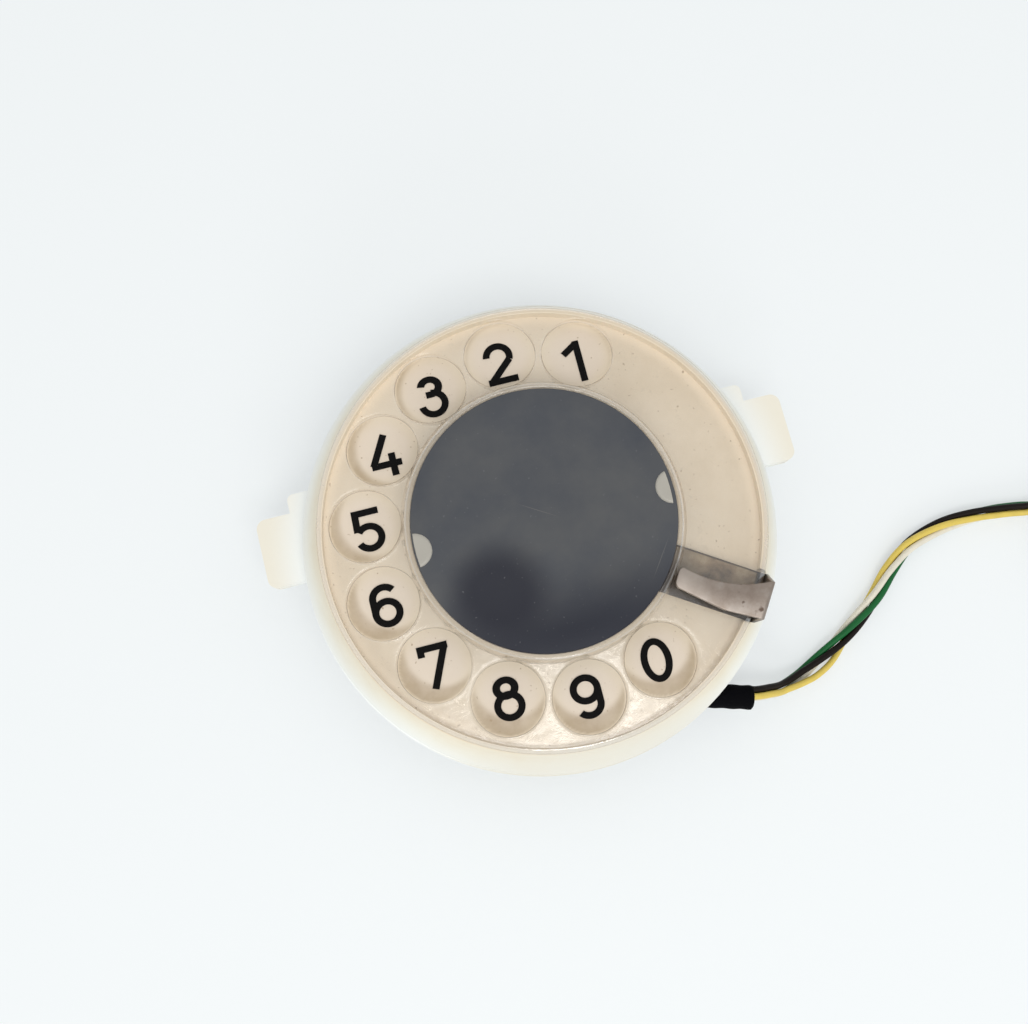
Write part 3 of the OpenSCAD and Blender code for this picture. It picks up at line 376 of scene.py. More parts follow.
def clear_acrylic(name="clear_acrylic", milk=0.0):
    """Clear plastic as a thin shell: a gloss over what lies behind, brown and milky where seen edge on."""
    s = Shader(name, (1, 1, 1, 1), 0.12, 1.0)
    s.rough(s.ramp(s.noise(260, 5, 0.7), [(0.35, 0.0), (0.7, 1.0)]), 0.1, 0.3)
    s.bump(s.noise(400, 4, 0.6), 0.13)
    facing = s.node("ShaderNodeLayerWeight", Blend=0.5).outputs["Facing"]
    clear = s.node("ShaderNodeBsdfTransparent")
    s.link(s.ramp(facing, [(0.0, (0.985, 0.98, 0.97, 1)), (0.75, (0.97, 0.955, 0.935, 1)),
                           (0.88, (0.56, 0.46, 0.36, 1)), (1.0, (0.12, 0.08, 0.05, 1))]),
           clear.inputs["Color"])
    gloss = s.node("ShaderNodeFresnel", IOR=GLOSS_IOR)
    weak = s.node("ShaderNodeMath", operation="MINIMUM")
    weak.inputs[1].default_value = MOST_GLOSS
    s.link(gloss.outputs["Fac"], weak.inputs[0])
    seen = s.mixed(weak.outputs["Value"], clear.outputs["BSDF"], s.bsdf.outputs["BSDF"])
    cloudy = s.node("ShaderNodeBsdfDiffuse", Color=rgb(206, 201, 188) if milk else rgb(246, 240, 226))
    wall = s.ramp(facing, [(0.8, milk), (0.93, max(milk, EDGE_MILK))])
    seen = s.mixed(wall, seen, cloudy.outputs["BSDF"])
    # light reaches what lies under the wheel, a little weaker than through the open holes
    passed = s.node("ShaderNodeBsdfTransparent", Color=(0.985, 0.98, 0.97, 1))
    path = s.node("ShaderNodeLightPath")
    spread = s.node("ShaderNodeMath", operation="MAXIMUM")
    s.link(path.outputs["Is Shadow Ray"], spread.inputs[0])
    s.link(path.outputs["Is Diffuse Ray"], spread.inputs[1])
    s.link(s.mixed(spread.outputs["Value"], seen, passed.outputs["BSDF"]), s.out.inputs["Surface"])
    return s.material


# middle of the painted shade patch on the disc, in metres
SHADE_PATCH_AT = (-0.0105, -0.0105, 0.0342)


def disc_plastic():
    """Dark slate plastic with dust, and painted shade: darker and navy towards the digits 8 and 9, and a
    darker patch.
    """
    s = Shader("disc_plastic", rgb(76, 78, 83), 0.5, IOR=1.5, Specular_IOR_Level=0.15)
    cloud = s.noise(70, 4, 0.6)
    base = s.ramp(cloud, [(0.3, rgb(75, 78, 84)), (0.7, rgb(90, 91, 92))])
    # painted shade: darker and navy towards -Y, by the digits 8 and 9
    navy = s.blend(s.along("Y", -7, -21), base, rgb(43, 45, 54))
    # painted shade: a darker patch at the lower left
    away = s.node("ShaderNodeVectorMath", operation="DISTANCE")
    away.inputs[1].default_value = SHADE_PATCH_AT
    s.link(s.position(), away.inputs[0])
    shade_patch = s.between(away.outputs["Value"], 0.011, 0.004)
    dark = s.blend(s.times(shade_patch, 0.85), navy, rgb(42, 43, 52))
    dust = s.ramp(s.noise(1700, 2, 0.5), [(0.70, 0.0), (0.77, 0.6)])
    dusty = s.blend(dust, dark, rgb(104, 105, 108))
    for turn, at, low, high in ((0.95, -0.0205, -0.0035, 0.0055), (-0.55, 0.001, -0.006, 0.003)):
        dusty = s.blend(s.times(s.scratch(turn, at, low, high), 0.6), dusty, rgb(112, 110, 107))
    s.color(dusty)
    s.rough(s.noise(220, 4), 0.36, 0.52)
    s.bump(s.noise(2400, 2), 0.012)
    return s.material


# level direction across the finger stop's strip, a quarter turn on from the way it points
STOP_ACROSS = (0.5446, 0.8387, 0)


def stainless():
    """Dull mottled steel with brown spots; the leg under the wheel is dirty, with painted shade: darkest
    under the arm, darker towards its inner end and nearly black in the corner by the fold.
    """
    s = Shader("stainless", rgb(156, 143, 134), 0.45, 1.0)
    grain = s.noise(190, 5, 0.65)
    metal = s.ramp(grain, [(0.3, rgb(134, 120, 110)), (0.5, rgb(154, 142, 132)),
                           (0.7, rgb(174, 165, 157))])
    spots = s.ramp(s.noise(560, 2, 0.4), [(0.66, 0.0), (0.72, 0.9)])
    spotted = s.blend(spots, metal, rgb(92, 76, 66))
    spotted = s.blend(s.times(s.radius(32, 25), 0.5), spotted, rgb(190, 181, 172))
    across = s.distance_along(STOP_ACROSS)
    # painted shadow of the arm: the leg is darkest along its side under the arm
    side = s.between(across, -0.003, 0.0034)
    dirt_and_shade = s.ramp(s.noise(150, 4, 0.65), [(0.34, rgb(80, 62, 46)), (0.52, rgb(152, 132, 106)),
                                          (0.7, rgb(190, 174, 146))])
    leg = s.blend(side, rgb(34, 26, 20), dirt_and_shade)
    # painted shade: darker towards the leg's inner end
    leg = s.blend(s.times(s.radius(30, 23.5), 0.6), leg, rgb(66, 54, 42))
    leg = s.blend(s.between(across, 0.0039, 0.0043), leg, rgb(54, 42, 32))
    # painted shadow: the corner between the leg and the fold is nearly black
    corner = s.times(s.radius(37.9, 38.6), s.radius(39.85, 39.65))
    leg = s.blend(corner, leg, rgb(30, 25, 20))
    under = s.along("Z", 31, 27)
    s.color(s.blend(under, spotted, leg))
    s.link(s.ramp(under, [(0.0, 1.0), (1.0, 0.15)]), s.bsdf.inputs["Metallic"])
    s.rough(s.noise(700, 3), 0.38, 0.55)
    s.bump(s.noise(1500, 2), 0.006)
    return s.material


MATERIALS = {
    "casing_plastic": casing_plastic(),
    "plate_enamel": plate_enamel(),
    "print_black": plain("print_black", rgb(15, 14, 14), 0.7, wear=0.2, Specular_IOR_Level=0.1),
    "clear_acrylic": clear_acrylic(),
    "disc_plastic": disc_plastic(),
    "stainless": stainless(),
    "bright_steel": plain("bright_steel", rgb(205, 203, 200), 0.25, 1.0),
    "spring_steel": plain("spring_steel", rgb(150, 150, 156), 0.3, 1.0),
    "plated_sheet": plain("plated_sheet", rgb(202, 198, 186), 0.32, 1.0, grain=250),
    "brass": plain("brass", rgb(214, 178, 98), 0.3, 1.0),
    "nickel_silver": plain("nickel_silver", rgb(206, 200, 184), 0.28, 1.0),
    "nylon": plain("nylon", rgb(232, 228, 214), 0.45),
    "phenolic": plain("phenolic", rgb(92, 52, 30), 0.5, wear=0.25),
    "sleeve_rubber": plain("sleeve_rubber", rgb(7, 7, 11), 0.8, wear=0.3, grain=500,
                           Specular_IOR_Level=0.06),
    "wire_white": plain("wire_white", rgb(232, 226, 208), 0.4, grain=400),
    "wire_yellow": plain("wire_yellow", rgb(226, 200, 92), 0.4, grain=400),
    "wire_green": plain("wire_green", rgb(18, 98, 48), 0.4, grain=400, Specular_IOR_Level=0.25),
    "wire_brown": plain("wire_brown", rgb(24, 17, 13), 0.45, grain=400, Specular_IOR_Level=0.15),
    "coil_mix": plain("coil_mix", rgb(120, 112, 60), 0.5),
    "tinned_brass": plain("tinned_brass", rgb(200, 198, 192), 0.3, 1.0),
    "tie_nylon": plain("tie_nylon", rgb(236, 236, 230), 0.45),
}


def finish_with(obj, slot, material=None):
    """Gives a piece the finish of a material slot."""
    obj.data.materials.clear()
    obj.data.materials.append(material or MATERIALS[slot])


for part in frame["record"]["subparts"]:
    piece = nodes[part["node"]]
    piece.data.materials.clear()
    piece.data.materials.append(MATERIALS[part["material_slot"]])


# ---- number plate ----

HOLE_RING_R = 30.5
HOLE_R = 6.25
DIGIT_STEP = 360 / 14
HOLE_AS = [90 + DIGIT_STEP * (k - 2) for k in range(1, 11)]
PLATE_R = 38.38
PLATE_TOP = 25.2
PLATE_BOTTOM = 24.2
BORE_R = 4.8
# a hole as the camera sees it on the plate lies a little outside its own place
SEEN_SHIFT = 0.02
# the tan crescent under a hole, a painted shadow of the hole's wall that is partly grime, is what a round
# pale patch, moved inwards and up the picture, leaves free
PATCH_IN = 1.95
PATCH_UP = 1.5
# how strong the tan crescents (painted shadow, partly grime) are where they are strongest
DIRT_AND_SHADE = 0.62
PICTURE_UP_A = 90 + CAMERA_TURN[2]
# the point of the plate's plane that the camera stands over
EYE = CAMERA_AT / MM
EYE.z = 0
# how softly the tan crescents (painted shadow, partly grime) and the painted light fade in, in millimetres
HOLE_SOFT = 0.35
DIRT_AND_SHADE_SOFT = 1.5
PALE_SOFT = 2.5
PALE_EDGE_R = 36
PALE_EDGE_SOFT = 2.2
PLATE_SIDES = 560
PLATE_RINGS = 84


def plate_shade_light_and_grime(p):
    """Tan crescents (painted shadow of the holes' walls, partly grime), painted light under the holes and
    painted light at the edge of the plate, at a point: the first two lie under the finger holes.
    """
    dirt_and_shade = pale = 0.0
    for a in HOLE_AS:
        centre = polar(HOLE_RING_R, a)
        seen = centre + (centre - EYE) * SEEN_SHIFT
        patch = seen - polar(PATCH_IN, a) + polar(PATCH_UP, PICTURE_UP_A)
        # painted shadow of the hole's wall, partly grime
        inside = smooth((HOLE_R + 0.1 - (p - seen).length) / HOLE_SOFT)
        dirt_and_shade += inside * smooth(((p - patch).length - HOLE_R + 0.4) / DIRT_AND_SHADE_SOFT)
        # painted light under the holes
        pale += smooth((HOLE_R - (p - seen).length) / PALE_SOFT)
    # painted light at the plate's edge
    edge = smooth((math.hypot(p.x, p.y) - PALE_EDGE_R) / PALE_EDGE_SOFT)
    return DIRT_AND_SHADE * min(dirt_and_shade, 1.0), min(pale, 1.0), edge


def build_plate():
    """The plate in fine rings, which carry its tan crescents (painted shadow, partly grime) and its painted
    light as a colour attribute.
    """
    points, faces = [], []
    rs = [mix(BORE_R, PLATE_R, i / PLATE_RINGS) for i in range(PLATE_RINGS + 1)]
    rings = [add_ring(points, r, PLATE_TOP, PLATE_SIDES) for r in rs]
    on_top = len(points)
    rings += [add_ring(points, r, PLATE_BOTTOM, PLATE_SIDES) for r in (PLATE_R, BORE_R)]
    loft(faces, [*rings, rings[0]], caps=False)
    plate = add_mesh("number_plate_face", points, faces, "plate_enamel", sharp=40,
                     replaces=["number_plate"])
    # the wear attribute holds painted shadow with grime, and painted light
    wear = plate.data.color_attributes.new("wear", "FLOAT_COLOR", "POINT")
    for i, p in enumerate(points):
        parts = plate_shade_light_and_grime(Vector((p.x, p.y, 0))) if i < on_top else (0, 0, 0)
        wear.data[i].color = (*parts, 1)


# ---- finger wheel: a clear flange with ten rounded holes, a hub wall and a web ----

AROUND = 280
HOLE_SIDES = 96
WHEEL_R = 39.0
FLAT_R = 37.5
FLANGE_SLOPE = math.tan(math.radians(6.5))
RIM_TOP_Z = 30.3
RIM_Z = 28.0
EDGE_Z = 28.5
DISC_R = 22.55
DISC_TOP = 34.2
DISC_Z = 32.8
LEDGE_R = 20.55
LIP_TOP = 34.4
WEB_TOP = 30.4
WEB_Z = 28.6
WEB_BORE = 2.65
# rise of the flange's underside, from the rim to the hub
UNDER_SLOPE = 1.615 / 13.3
# the flange is meshed between these radii, and its rim and hub are rings around it
PLAN_IN_R = 23.75
PLAN_OUT_R = 37.45
# distances from a hole's edge and how far the rounded edge drops there
EDGE_ROUND = 0.45
EDGE_STEPS = (0.0, 0.02, 0.07, 0.15, 0.27, EDGE_ROUND)


def flange_top(r):
    """Height of the flange's upper face, which climbs steeply at the hub."""
    base = RIM_TOP_Z + (FLAT_R - r) * FLANGE_SLOPE
    rise = (LIP_TOP - 0.25 - base) * (1 - smooth((r - 23.35) / 1.0))
    return base + max(rise, 0.0)


def flange_under(r):
    return RIM_Z + (FLAT_R - r) * UNDER_SLOPE


def edge_drop(d):
    """How far the rounded edge of a hole lies below the flange, at a distance from the hole."""
    if d >= EDGE_ROUND:
        return 0.0
    return EDGE_ROUND - math.sqrt(EDGE_ROUND ** 2 - (EDGE_ROUND - d) ** 2)


def from_holes(p):
    """Distance of a point in the plane from the nearest hole's edge."""
    return min((p - polar(HOLE_RING_R, a)).length for a in HOLE_AS) - HOLE_R


def flange_plan():
    """Points and triangles of the flange seen from above, and its closed loops of point numbers."""
    plan, edges, loops = [], [], []

    def loop(points):
        numbers = list(range(len(plan), len(plan) + len(points)))
        plan.extend(Vector((p.x, p.y)) for p in points)
        edges.extend(zip(numbers, numbers[1:] + numbers[:1]))
        loops.append(numbers)

    for r in (PLAN_IN_R, PLAN_OUT_R):
        loop([polar(r, 360 * i / AROUND) for i in range(AROUND)])
    for a in HOLE_AS:
        for d in EDGE_STEPS:
            around = [polar(HOLE_R + d, 360 * i / HOLE_SIDES) for i in range(HOLE_SIDES)]
            loop([polar(HOLE_RING_R, a) + p for p in around])
    for r in [24.3 + 0.75 * i for i in range(17)]:
        for i in range(AROUND):
            p = polar(r, 360 * (i + 0.5) / AROUND)
            if from_holes(p) > EDGE_ROUND + 0.15 and r < PLAN_OUT_R - 0.3:
                plan.append(Vector((p.x, p.y)))
    found = delaunay_2d_cdt(plan, edges, [], 0, 1e-7)
    points, triangles, origins = found[0], found[2], found[3]
    kept = []
    for t in triangles:
        middle = sum((points[i] for i in t), Vector((0, 0))) / 3
        r = middle.length
        free = from_holes(Vector((middle.x, middle.y, 0))) > 0
        if PLAN_IN_R - 0.05 < r < PLAN_OUT_R + 0.001 and free:
            kept.append(t)
    number = {}
    for new, olds in enumerate(origins):
        for old in olds:
            number[old] = new
    return points, kept, [[number[i] for i in one] for one in loops]


def build_wheel():
    """Upper and lower face of the flange from one plan, joined at the holes, the rim and the hub."""
    plan, triangles, loops = flange_plan()
    inner, outer = loops[:2]
    holes = loops[2::len(EDGE_STEPS)]
    points, faces = [], []
    n = len(plan)
    for level, sign in ((flange_top, -1), (flange_under, 1)):
        for q in plan:
            p = Vector((q.x, q.y, 0))
            drop = edge_drop(max(from_holes(p), 0.0))
            points.append(Vector((q.x, q.y, level(p.length) + sign * drop)))
    faces += [tuple(t) for t in triangles]
    faces += [tuple(n + i for i in reversed(t)) for t in triangles]
    for hole in holes:
        stitch(faces, [n + i for i in hole], list(hole))

    def run(start, profile, end):
        """Rings from one loop over a profile of radii and heights to another loop."""
        previous = start
        for r, z in profile:
            ring = add_ring(points, r, z, AROUND)
            stitch(faces, ring, previous)
            previous = ring
        stitch(faces, end, previous)

    rounding = [math.radians(90 * i / 9) for i in range(10)]
    rim = [(FLAT_R + (WHEEL_R - FLAT_R) * math.sin(a), EDGE_Z + (RIM_TOP_Z - EDGE_Z) * math.cos(a))
           for a in rounding]
    rim += [(WHEEL_R - 0.5 + 0.5 * math.cos(a), EDGE_Z - 0.5 * math.sin(a)) for a in rounding[3::3]]
    run(outer, rim + [(FLAT_R + 0.2, RIM_Z)], [n + i for i in outer])
    hub = [(23.6, flange_top(23.6)), (23.45, flange_top(23.45)), (23.35, LIP_TOP - 0.22),
           (23.2, LIP_TOP - 0.06), (23.0, LIP_TOP), (22.8, LIP_TOP - 0.04), (DISC_R + 0.06, LIP_TOP - 0.2),
           (DISC_R + 0.05, DISC_Z), (LEDGE_R, DISC_Z), (LEDGE_R, WEB_TOP), (WEB_BORE, WEB_TOP),
           (WEB_BORE, WEB_Z), (21.55, WEB_Z)]
    faces_before = len(faces)
    run(inner, hub, [n + i for i in inner])
    # the inner rings run inwards, so their faces turn the other way
    faces[faces_before:] = [tuple(reversed(f)) for f in faces[faces_before:]]
    add_mesh("clear_wheel", points, faces, "clear_acrylic", "dial", sharp=50, replaces=["finger_wheel"])


LUG_R = 2.9
LUG_RING_R = 22.3
LUG_H = 0.5
LUG_SIDES = 64


def build_lugs():
    """Two pale half-moons over the disc's edge."""
    material = clear_acrylic("milky_acrylic", milk=0.62)
    for a, short in ((0, 0.8), (180, 0.35)):
        points, faces, rings = [], [], []
        profile = [(LUG_R, DISC_TOP - 0.02), (LUG_R, DISC_TOP + 0.25), (LUG_R - 0.15, DISC_TOP + 0.42),
                   (LUG_R - 0.4, DISC_TOP + LUG_H), (LUG_R - 1.0, DISC_TOP + LUG_H - 0.04),
                   (LUG_R - 1.6, DISC_TOP + LUG_H - 0.12), (0.3, DISC_TOP + LUG_H - 0.16)]
        for r, z in profile:
            rings.append(list(range(len(points), len(points) + LUG_SIDES)))
            for i in range(LUG_SIDES):
                p = polar(LUG_RING_R, a) + polar(r, 360 * i / LUG_SIDES, z)
                flat = Vector((p.x, p.y, 0))
                if flat.length > DISC_R - short:
                    flat *= (DISC_R - short) / flat.length
                points.append(Vector((flat.x, flat.y, z)))
        loft(faces, rings)
        lug = add_mesh(f"disc_lug_{a}", points, faces, "clear_acrylic", "dial", sharp=50)
        finish_with(lug, "clear_acrylic", material)


def build_disc():
    """The dark disc with a softly rounded edge."""
    profile = [(LEDGE_R - 1, DISC_Z), (DISC_R, DISC_Z), (DISC_R, DISC_TOP - 0.35),
               (DISC_R - 0.1, DISC_TOP - 0.1), (DISC_R - 0.35, DISC_TOP), (DISC_R - 4, DISC_TOP),
               (DISC_R * 0.5, DISC_TOP)]
    points, faces = [], []
    loft(faces, [add_ring(points, r, z, AROUND) for r, z in profile])
    add_mesh("dark_disc", points, faces, "disc_plastic", "dial", sharp=40, replaces=["centre_disc"])


# ---- finger stop: one strip of sheet, folded twice ----

STOP_A = -33
SHEET_T = 0.8
# rounding of the sheet's edges, and of the arm's corners
NOSE = 0.22
CORNER = 0.9
LEG_HALF = 4.4
LEG_Z = PLATE_TOP + SHEET_T / 2
ARM_Z = 33.115
FOLD_U = 40.1 - SHEET_T / 2
FOLD_R = 0.75
TOP_R = 0.41
ARM_END_U = 24.15
ARM_CURVE_R = 20.2
ARM_CURVE_U = 28.9
ARM_CURVE_V = -0.67


def arm_edges(u):
    """Lower and upper edge of the arm above the wheel, at a distance from the dial's axis."""
    low = mix(-3.85, -4.9, (u - 25.0) / 8.0) if u < 33 else mix(-4.9, -4.3, (u - 33.0) / 7.1)
    high = ARM_CURVE_V + ARM_CURVE_R - math.sqrt(ARM_CURVE_R ** 2 - (u - ARM_CURVE_U) ** 2)
    from_end = u - ARM_END_U
    if from_end < CORNER:
        corner = CORNER - math.sqrt(max(CORNER ** 2 - (CORNER - from_end) ** 2, 0.0))
        low, high = low + corner, high - corner
    return low, high


def stop_stations():
    """Places along the strip: a point (u, z), the direction along it, and the strip's two edges."""
    stations = []
    for u in (9.0, 20.0, 30.0, FOLD_U - FOLD_R):
        stations.append(((u, LEG_Z), 0.0, (-LEG_HALF, LEG_HALF)))
    for i in range(1, 7):
        turn = 90 * i / 6
        a = math.radians(turn)
        at = (FOLD_U - FOLD_R + FOLD_R * math.sin(a), LEG_Z + FOLD_R * (1 - math.cos(a)))
        stations.append((at, turn, (-LEG_HALF, LEG_HALF)))
    top_edges = arm_edges(FOLD_U)
    for i in range(1, 6):
        t = i / 6
        z = mix(LEG_Z + FOLD_R, ARM_Z - TOP_R, t)
        edges = (mix(-LEG_HALF, top_edges[0], t), mix(LEG_HALF, top_edges[1], t))
        stations.append(((FOLD_U, z), 90.0, edges))
    for i in range(7):
        turn = 90 * i / 6
        a = math.radians(turn)
        at = (FOLD_U - TOP_R + TOP_R * math.cos(a), ARM_Z - TOP_R + TOP_R * math.sin(a))
        stations.append((at, 90.0 + turn, arm_edges(at[0])))
    us = [mix(FOLD_U - TOP_R, 26.0, i / 22) for i in range(1, 23)]
    us += [25.6, 25.3, 25.05, 24.85, 24.65, 24.5, 24.36, 24.25, 24.18, ARM_END_U + 0.005]
    stations += [((u, ARM_Z), 180.0, arm_edges(u)) for u in us]
    return stations


def build_finger_stop():
    """The strip as a loft with rounded edges through all its stations."""
    radial, across = polar(1, STOP_A), polar(1, STOP_A + 90)
    up = Vector((0, 0, 1))
    half = SHEET_T / 2
    points, faces, rings = [], [], []
    for (u, z), turn, (low, high) in stop_stations():
        a = math.radians(turn)
        out = -math.sin(a) * radial + math.cos(a) * up
        middle = u * radial + z * up
        ring = []
        corners = ((low, -half, 1, 1), (high, -half, -1, 1), (high, half, -1, -1), (low, half, 1, -1))
        for v, n, va, na in corners:
            inner = (v + va * NOSE, n + na * NOSE)
            steps = range(4) if va * na > 0 else range(3, -1, -1)
            for k in steps:
                b = math.radians(90 * k / 3)
                ring.append((inner[0] - va * NOSE * math.cos(b), inner[1] - na * NOSE * math.sin(b)))
        rings.append(list(range(len(points), len(points) + len(ring))))
        points += [middle + v * across + n * out for v, n in ring]
    loft(faces, rings[::-1])
    add_mesh("finger_stop_strip", points, faces, "stainless", sharp=60, replaces=["finger_stop"])


# ---- lead: four insulated wires in a loose twist ----

WIRE_D = 1.25
# middle of the bundle, from the sleeve's mouth to the coil, and how far it has twisted at each point
ROUTE = [Vector(p) for p in [
    (31.98, -38.2, 7.95), (34.85, -38.56, 6.3), (38.44, -38.71, 3.8), (43.13, -37.44, 2.1),
    (48.42, -35.03, 1.8), (53.12, -32.35, 1.8), (57.5, -29.46, 1.8), (61.55, -26.36, 1.8),
    (66.02, -22.01, 1.8), (71.08, -18.49, 1.8), (77.78, -16.48, 1.8), (83.81, -15.95, 1.8),
    (89.82, -16.23, 1.8), (95.2, -17.0, 1.9), (100.0, -18.2, 3.3), (104.6, -19.4, 5.35),
    (109.0, -20.6, 5.4),
]]
TWISTS = (325, 325, 322, 312, 266, 213, 171, 129, 87, 45, 3, -35, -60, -67, -41, -15, 11)
SLEEVE_MOUTH = Vector((31.3, -38.8, 8))
SLEEVE_L = 20
SLEEVE_R = 2.3
SLEEVE_WALL = 0.5
SLEEVE_WAY = polar(1, -17)
STRAND_R = (WIRE_D / 2 + 0.04) * math.sqrt(2)
BUNDLE_D = 3.49
COIL_CENTRE = Vector((110.5, -29.5, 0))
COIL_MID_R = 10
TURN_RS = (COIL_MID_R - BUNDLE_D / 2, COIL_MID_R + BUNDLE_D / 2)
COIL_START = 70
COIL_TWIST_PER_MM = 2.0
LEAVE_A = 110
LEAVE_TURN = 45
TAIL_L = 15
TAIL_STEPS = 7
INTO_FORK = 1.5
FORK_AS = (27, 49, 71, 5)
FORK_Z = 1.2
FLOOR_LEVEL = 1.8
PER_PART = 5
WIRE_SLOTS = ("wire_white", "wire_yellow", "wire_brown", "wire_green")
YELLOW = 1
YELLOW_BOW = 0.95
# the wire that each solder tag feeds, from left to right
TAG_WIRES = (1, 0, 3, 2)


def spline(points, per_part=PER_PART):
    """A smooth line through points (Catmull-Rom)."""
    ends = [points[0] * 2 - points[1], *points, points[-1] * 2 - points[-2]]
    line = []
    for i in range(1, len(ends) - 2):
        p0, p1, p2, p3 = ends[i - 1:i + 3]
        for j in range(per_part):
            t = j / per_part
            line.append(0.5 * (2 * p1 + (p2 - p0) * t + (2 * p0 - 5 * p1 + 4 * p2 - p3) * t ** 2
                               + (3 * p1 - p0 - 3 * p2 + p3) * t ** 3))
    return line + [points[-1]]


def coil_point(turned):
    """A point of the bundle's middle after so many degrees around the coil."""
    stepping = smooth((turned - 300) / 60)
    r = mix(TURN_RS[0], TURN_RS[1], stepping)
    height = mix(5.0, FLOOR_LEVEL, smooth((turned + 6) / 50))
    return COIL_CENTRE + polar(r, COIL_START - turned, height)


def strand_offset(k, turn, way):
    """Place of a wire's middle beside the bundle's, which runs a given way."""
    side = way.cross(Vector((0, 0, 1))).normalized()
    up = side.cross(way).normalized()
    a = math.radians(90 * k + turn)
    return STRAND_R * (math.cos(a) * side + math.sin(a) * up)


def bundle_line():
    """The bundle's middle and its twist, from inside the sleeve to where the tails leave."""
    inside = [SLEEVE_MOUTH - SLEEVE_WAY * 3, ROUTE[0] - SLEEVE_WAY * 1.5]
    turned_end = COIL_START - LEAVE_A + 720
    coil = [coil_point(t) for t in range(0, turned_end + 1, 12)]
    route = spline([*inside, *ROUTE, *coil[:1]])[:-1]
    twists = [TWISTS[0], TWISTS[0], *TWISTS, TWISTS[-1] + 20]
    turns = []
    for i in range(len(route)):
        part, t = divmod(i, PER_PART)
        turns.append(mix(twists[part], twists[part + 1], t / PER_PART))
    line = route + coil
    for i in range(len(route), len(line)):
        turns.append(turns[-1] + (line[i] - line[i - 1]).length * COIL_TWIST_PER_MM)
    return line, turns, len(route)


def build_wires():
    """Each wire from inside the sleeve, along the route and the coil, to its fork terminal."""
    line, turns, coiled_from = bundle_line()
    # the coil takes up the twist that is left, so that each tail leaves on the side of its fork
    extra = (LEAVE_TURN - turns[-1] + 180) % 360 - 180
    coiled = len(turns) - 1 - coiled_from
    turns = [t + extra * smooth((i - coiled_from) / coiled) for i, t in enumerate(turns)]
    leave_p = line[-1]
    leave_way = polar(1, LEAVE_A - 90)
    for k, slot in enumerate(WIRE_SLOTS):
        points = []
        for i, p in enumerate(line):
            way = line[min(i + 1, len(line) - 1)] - line[max(i - 1, 0)]
            points.append(p + strand_offset(k, turns[i], way))
            if k == YELLOW:
                # the yellow wire bows away from the others for a stretch
                along = i / PER_PART - 2
                bow = YELLOW_BOW * smooth((along - 1.9) / 1.6) * smooth((5.5 - along) / 1.8)
                points[-1] += bow * way.cross(Vector((0, 0, 1))).normalized()
        fan = polar(1, FORK_AS[k])
        mouth = leave_p + fan * TAIL_L
        mouth.z = FORK_Z
        start = points[-1]
        bend = start + leave_way * 5
        for j in range(1, TAIL_STEPS + 1):
            t = j / TAIL_STEPS
            p = start * (1 - t) ** 3 + bend * 3 * t * (1 - t) ** 2
            p += (mouth - fan * 4) * 3 * t * t * (1 - t) + mouth * t ** 3
            points.append(p)
        points.append(mouth + fan * INTO_FORK)
        replaced = [slot] + (["lead_coil"] if k == 0 else [])
        wire = add_mesh(slot + "_cord", *tube(points, WIRE_D / 2), slot, sharp=60, replaces=replaced)


def build_sleeve():
    """The black sleeve, a little uneven, with rounded ends."""
    steps, sides = 60, 40
    line = [SLEEVE_MOUTH - SLEEVE_WAY * SLEEVE_L * (1 - i / steps) for i in range(steps + 1)]

    def outside(t):
        end = min(t, 1 - t) * SLEEVE_L
        ease = math.sqrt(max(1 - (1 - min(end / 0.6, 1)) ** 2, 0))
        return SLEEVE_R - 0.45 + 0.45 * ease - 0.05 * (1 + math.sin(37 * t)) * smooth(end / 2)

    points, faces = tube(line, outside, sides, caps=False)
    inner, inner_faces = tube(line, SLEEVE_R - SLEEVE_WALL, sides, caps=False)
    n = len(points)
    faces += [tuple(n + i for i in reversed(f)) for f in inner_faces]
    points += inner
    last = sides * steps
    stitch(faces, [n + i for i in range(sides)], list(range(sides)))
    stitch(faces, [last + i for i in range(sides)], [n + last + i for i in range(sides)])
    add_mesh("black_sleeve", points, faces, "sleeve_rubber", sharp=60, replaces=["lead_sleeve"])


def build_inner_wires():
    """The wires between the solder tags and the sleeve, each in its own colour."""
    place = nodes["inner_wires"].matrix_world
    solid = bmesh.new()
    solid.from_mesh(nodes["inner_wires"].data)
    bmesh.ops.remove_doubles(solid, verts=solid.verts, dist=0.001 * MM)
    left, wires = set(solid.verts), []
    for first in solid.verts:
        if first not in left:
            continue
        left.remove(first)
        wire = [first]
        # the list grows while it is walked, until the whole wire is in it
        for vert in wire:
            near = {edge.other_vert(vert) for edge in vert.link_edges} & left
            left -= near
            wire += sorted(near, key=lambda v: v.index)
        wires.append(wire)
    wires.sort(key=lambda wire: min(vert.co.x for vert in wire))
    for k, wire in zip(TAG_WIRES, wires, strict=True):
        number = {vert: i for i, vert in enumerate(wire)}
        points = [place @ vert.co / MM for vert in wire]
        faces = [[number[vert] for vert in face.verts] for face in solid.faces if face.verts[0] in number]
        add_mesh(f"inner_{WIRE_SLOTS[k]}", points, faces, WIRE_SLOTS[k], replaces=["inner_wires"])
    solid.free()


build_plate()
build_wheel()
build_lugs()
build_disc()
build_finger_stop()
build_wires()
build_sleeve()
build_inner_wires()


# ---- floor and light ----

FLOOR_HALF_M = 3.0
FLOOR_WHITE = rgb(243, 247, 248)
# share of plain white that the camera sees in the floor's own look
FLOOR_SHINE = 0.5
WORLD_WHITE = rgb(240, 244, 245)
WORLD_LIGHT = (0.99, 0.995, 1.0, 1)
WORLD_STRENGTH = 0.735
LIGHTS_AIM = (0, 0, 10)


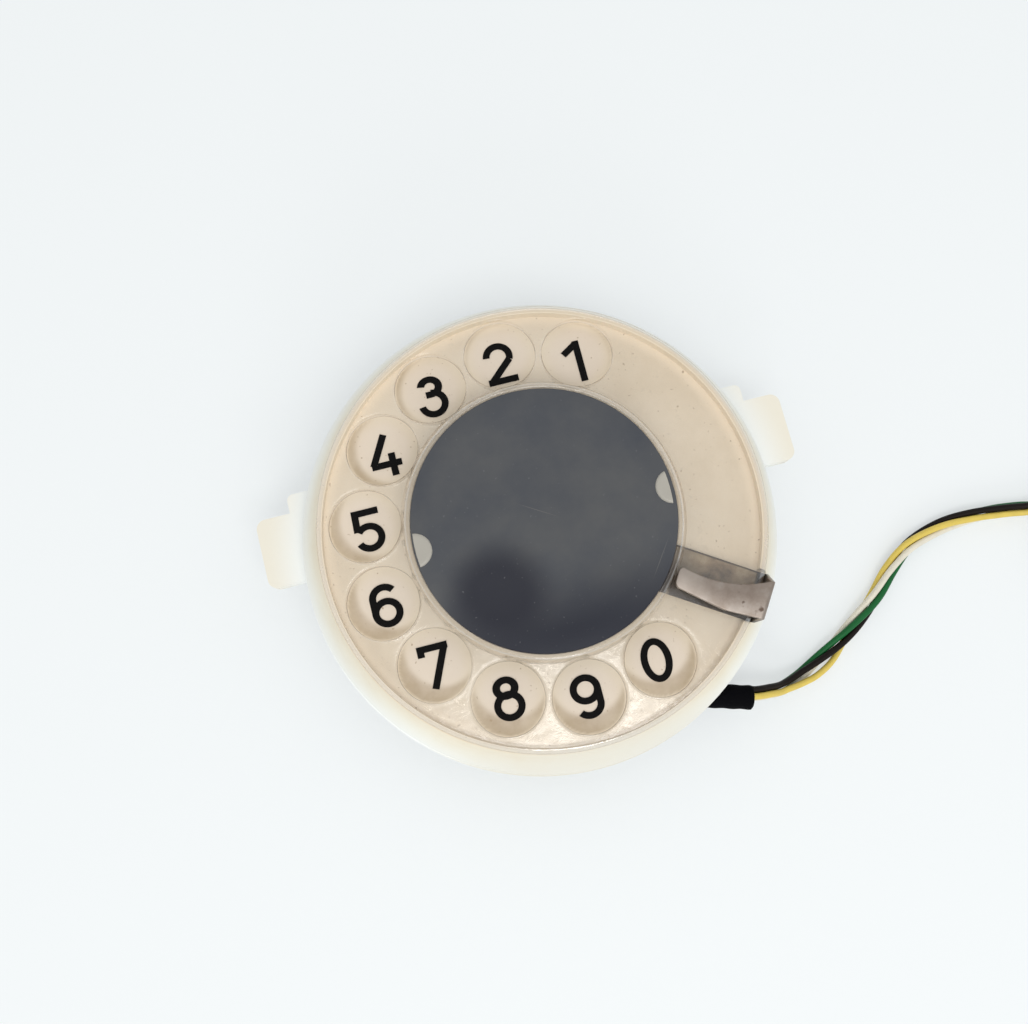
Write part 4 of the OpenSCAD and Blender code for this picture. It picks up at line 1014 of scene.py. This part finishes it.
def build_floor():
    """A white floor whose own look is mixed with plain white, so that its shadows stay soft."""
    mesh = bpy.data.meshes.new("floor")
    size = FLOOR_HALF_M
    corners = [(-size, -size, 0), (size, -size, 0), (size, size, 0), (-size, size, 0)]
    mesh.from_pydata(corners, [], [(0, 1, 2, 3)])
    s = Shader("floor_white", FLOOR_WHITE, 0.9)
    s.set("Specular IOR Level", 0.0)
    path = s.node("ShaderNodeLightPath")
    seen = s.node("ShaderNodeMath", operation="MAXIMUM")
    s.link(path.outputs["Is Camera Ray"], seen.inputs[0])
    s.link(path.outputs["Is Glossy Ray"], seen.inputs[1])
    seen_too = s.node("ShaderNodeMath", operation="MAXIMUM")
    s.link(seen.outputs["Value"], seen_too.inputs[0])
    s.link(path.outputs["Is Transmission Ray"], seen_too.inputs[1])
    shine = s.node("ShaderNodeEmission", Color=FLOOR_WHITE, Strength=1.0)
    amount = s.times(seen_too.outputs["Value"], FLOOR_SHINE)
    s.link(s.mixed(amount, s.bsdf.outputs["BSDF"], shine.outputs["Emission"]), s.out.inputs["Surface"])
    mesh.materials.append(s.material)
    floor = add_object("floor", mesh, body=None)


def area_light(name, at_mm, size_mm, watts, color=(1, 1, 1)):
    """A wide lamp that shines at the dial."""
    light = bpy.data.lights.new(name, "AREA")
    light.shape = "RECTANGLE"
    light.size = size_mm[0] * MM
    light.size_y = size_mm[1] * MM
    light.energy = watts
    light.color = color
    obj = bpy.data.objects.new(name, light)
    obj.location = Vector(at_mm) * MM
    aim = Vector(LIGHTS_AIM) * MM - obj.location
    obj.rotation_euler = aim.to_track_quat("-Z", "Y").to_euler()
    scene.collection.objects.link(obj)


def build_world():
    """An even white light, which the camera sees as nearly the same white as the floor."""
    made = bpy.data.worlds.new("world")
    made.use_nodes = True
    tree = made.node_tree
    light = tree.nodes["Background"]
    light.inputs["Color"].default_value = WORLD_LIGHT
    light.inputs["Strength"].default_value = WORLD_STRENGTH
    seen = tree.nodes.new("ShaderNodeBackground")
    seen.inputs["Color"].default_value = WORLD_WHITE
    both = tree.nodes.new("ShaderNodeMixShader")
    path = tree.nodes.new("ShaderNodeLightPath")
    tree.links.new(path.outputs["Is Camera Ray"], both.inputs[0])
    tree.links.new(light.outputs[0], both.inputs[1])
    tree.links.new(seen.outputs[0], both.inputs[2])
    tree.links.new(both.outputs[0], tree.nodes["World Output"].inputs["Surface"])
    return made


scene.world = build_world()
build_floor()
area_light("key", (0, -295, 620), (420, 220), 1.3, (1.0, 0.99, 0.975))
area_light("low", (-60, -620, 320), (260, 200), 0.6)
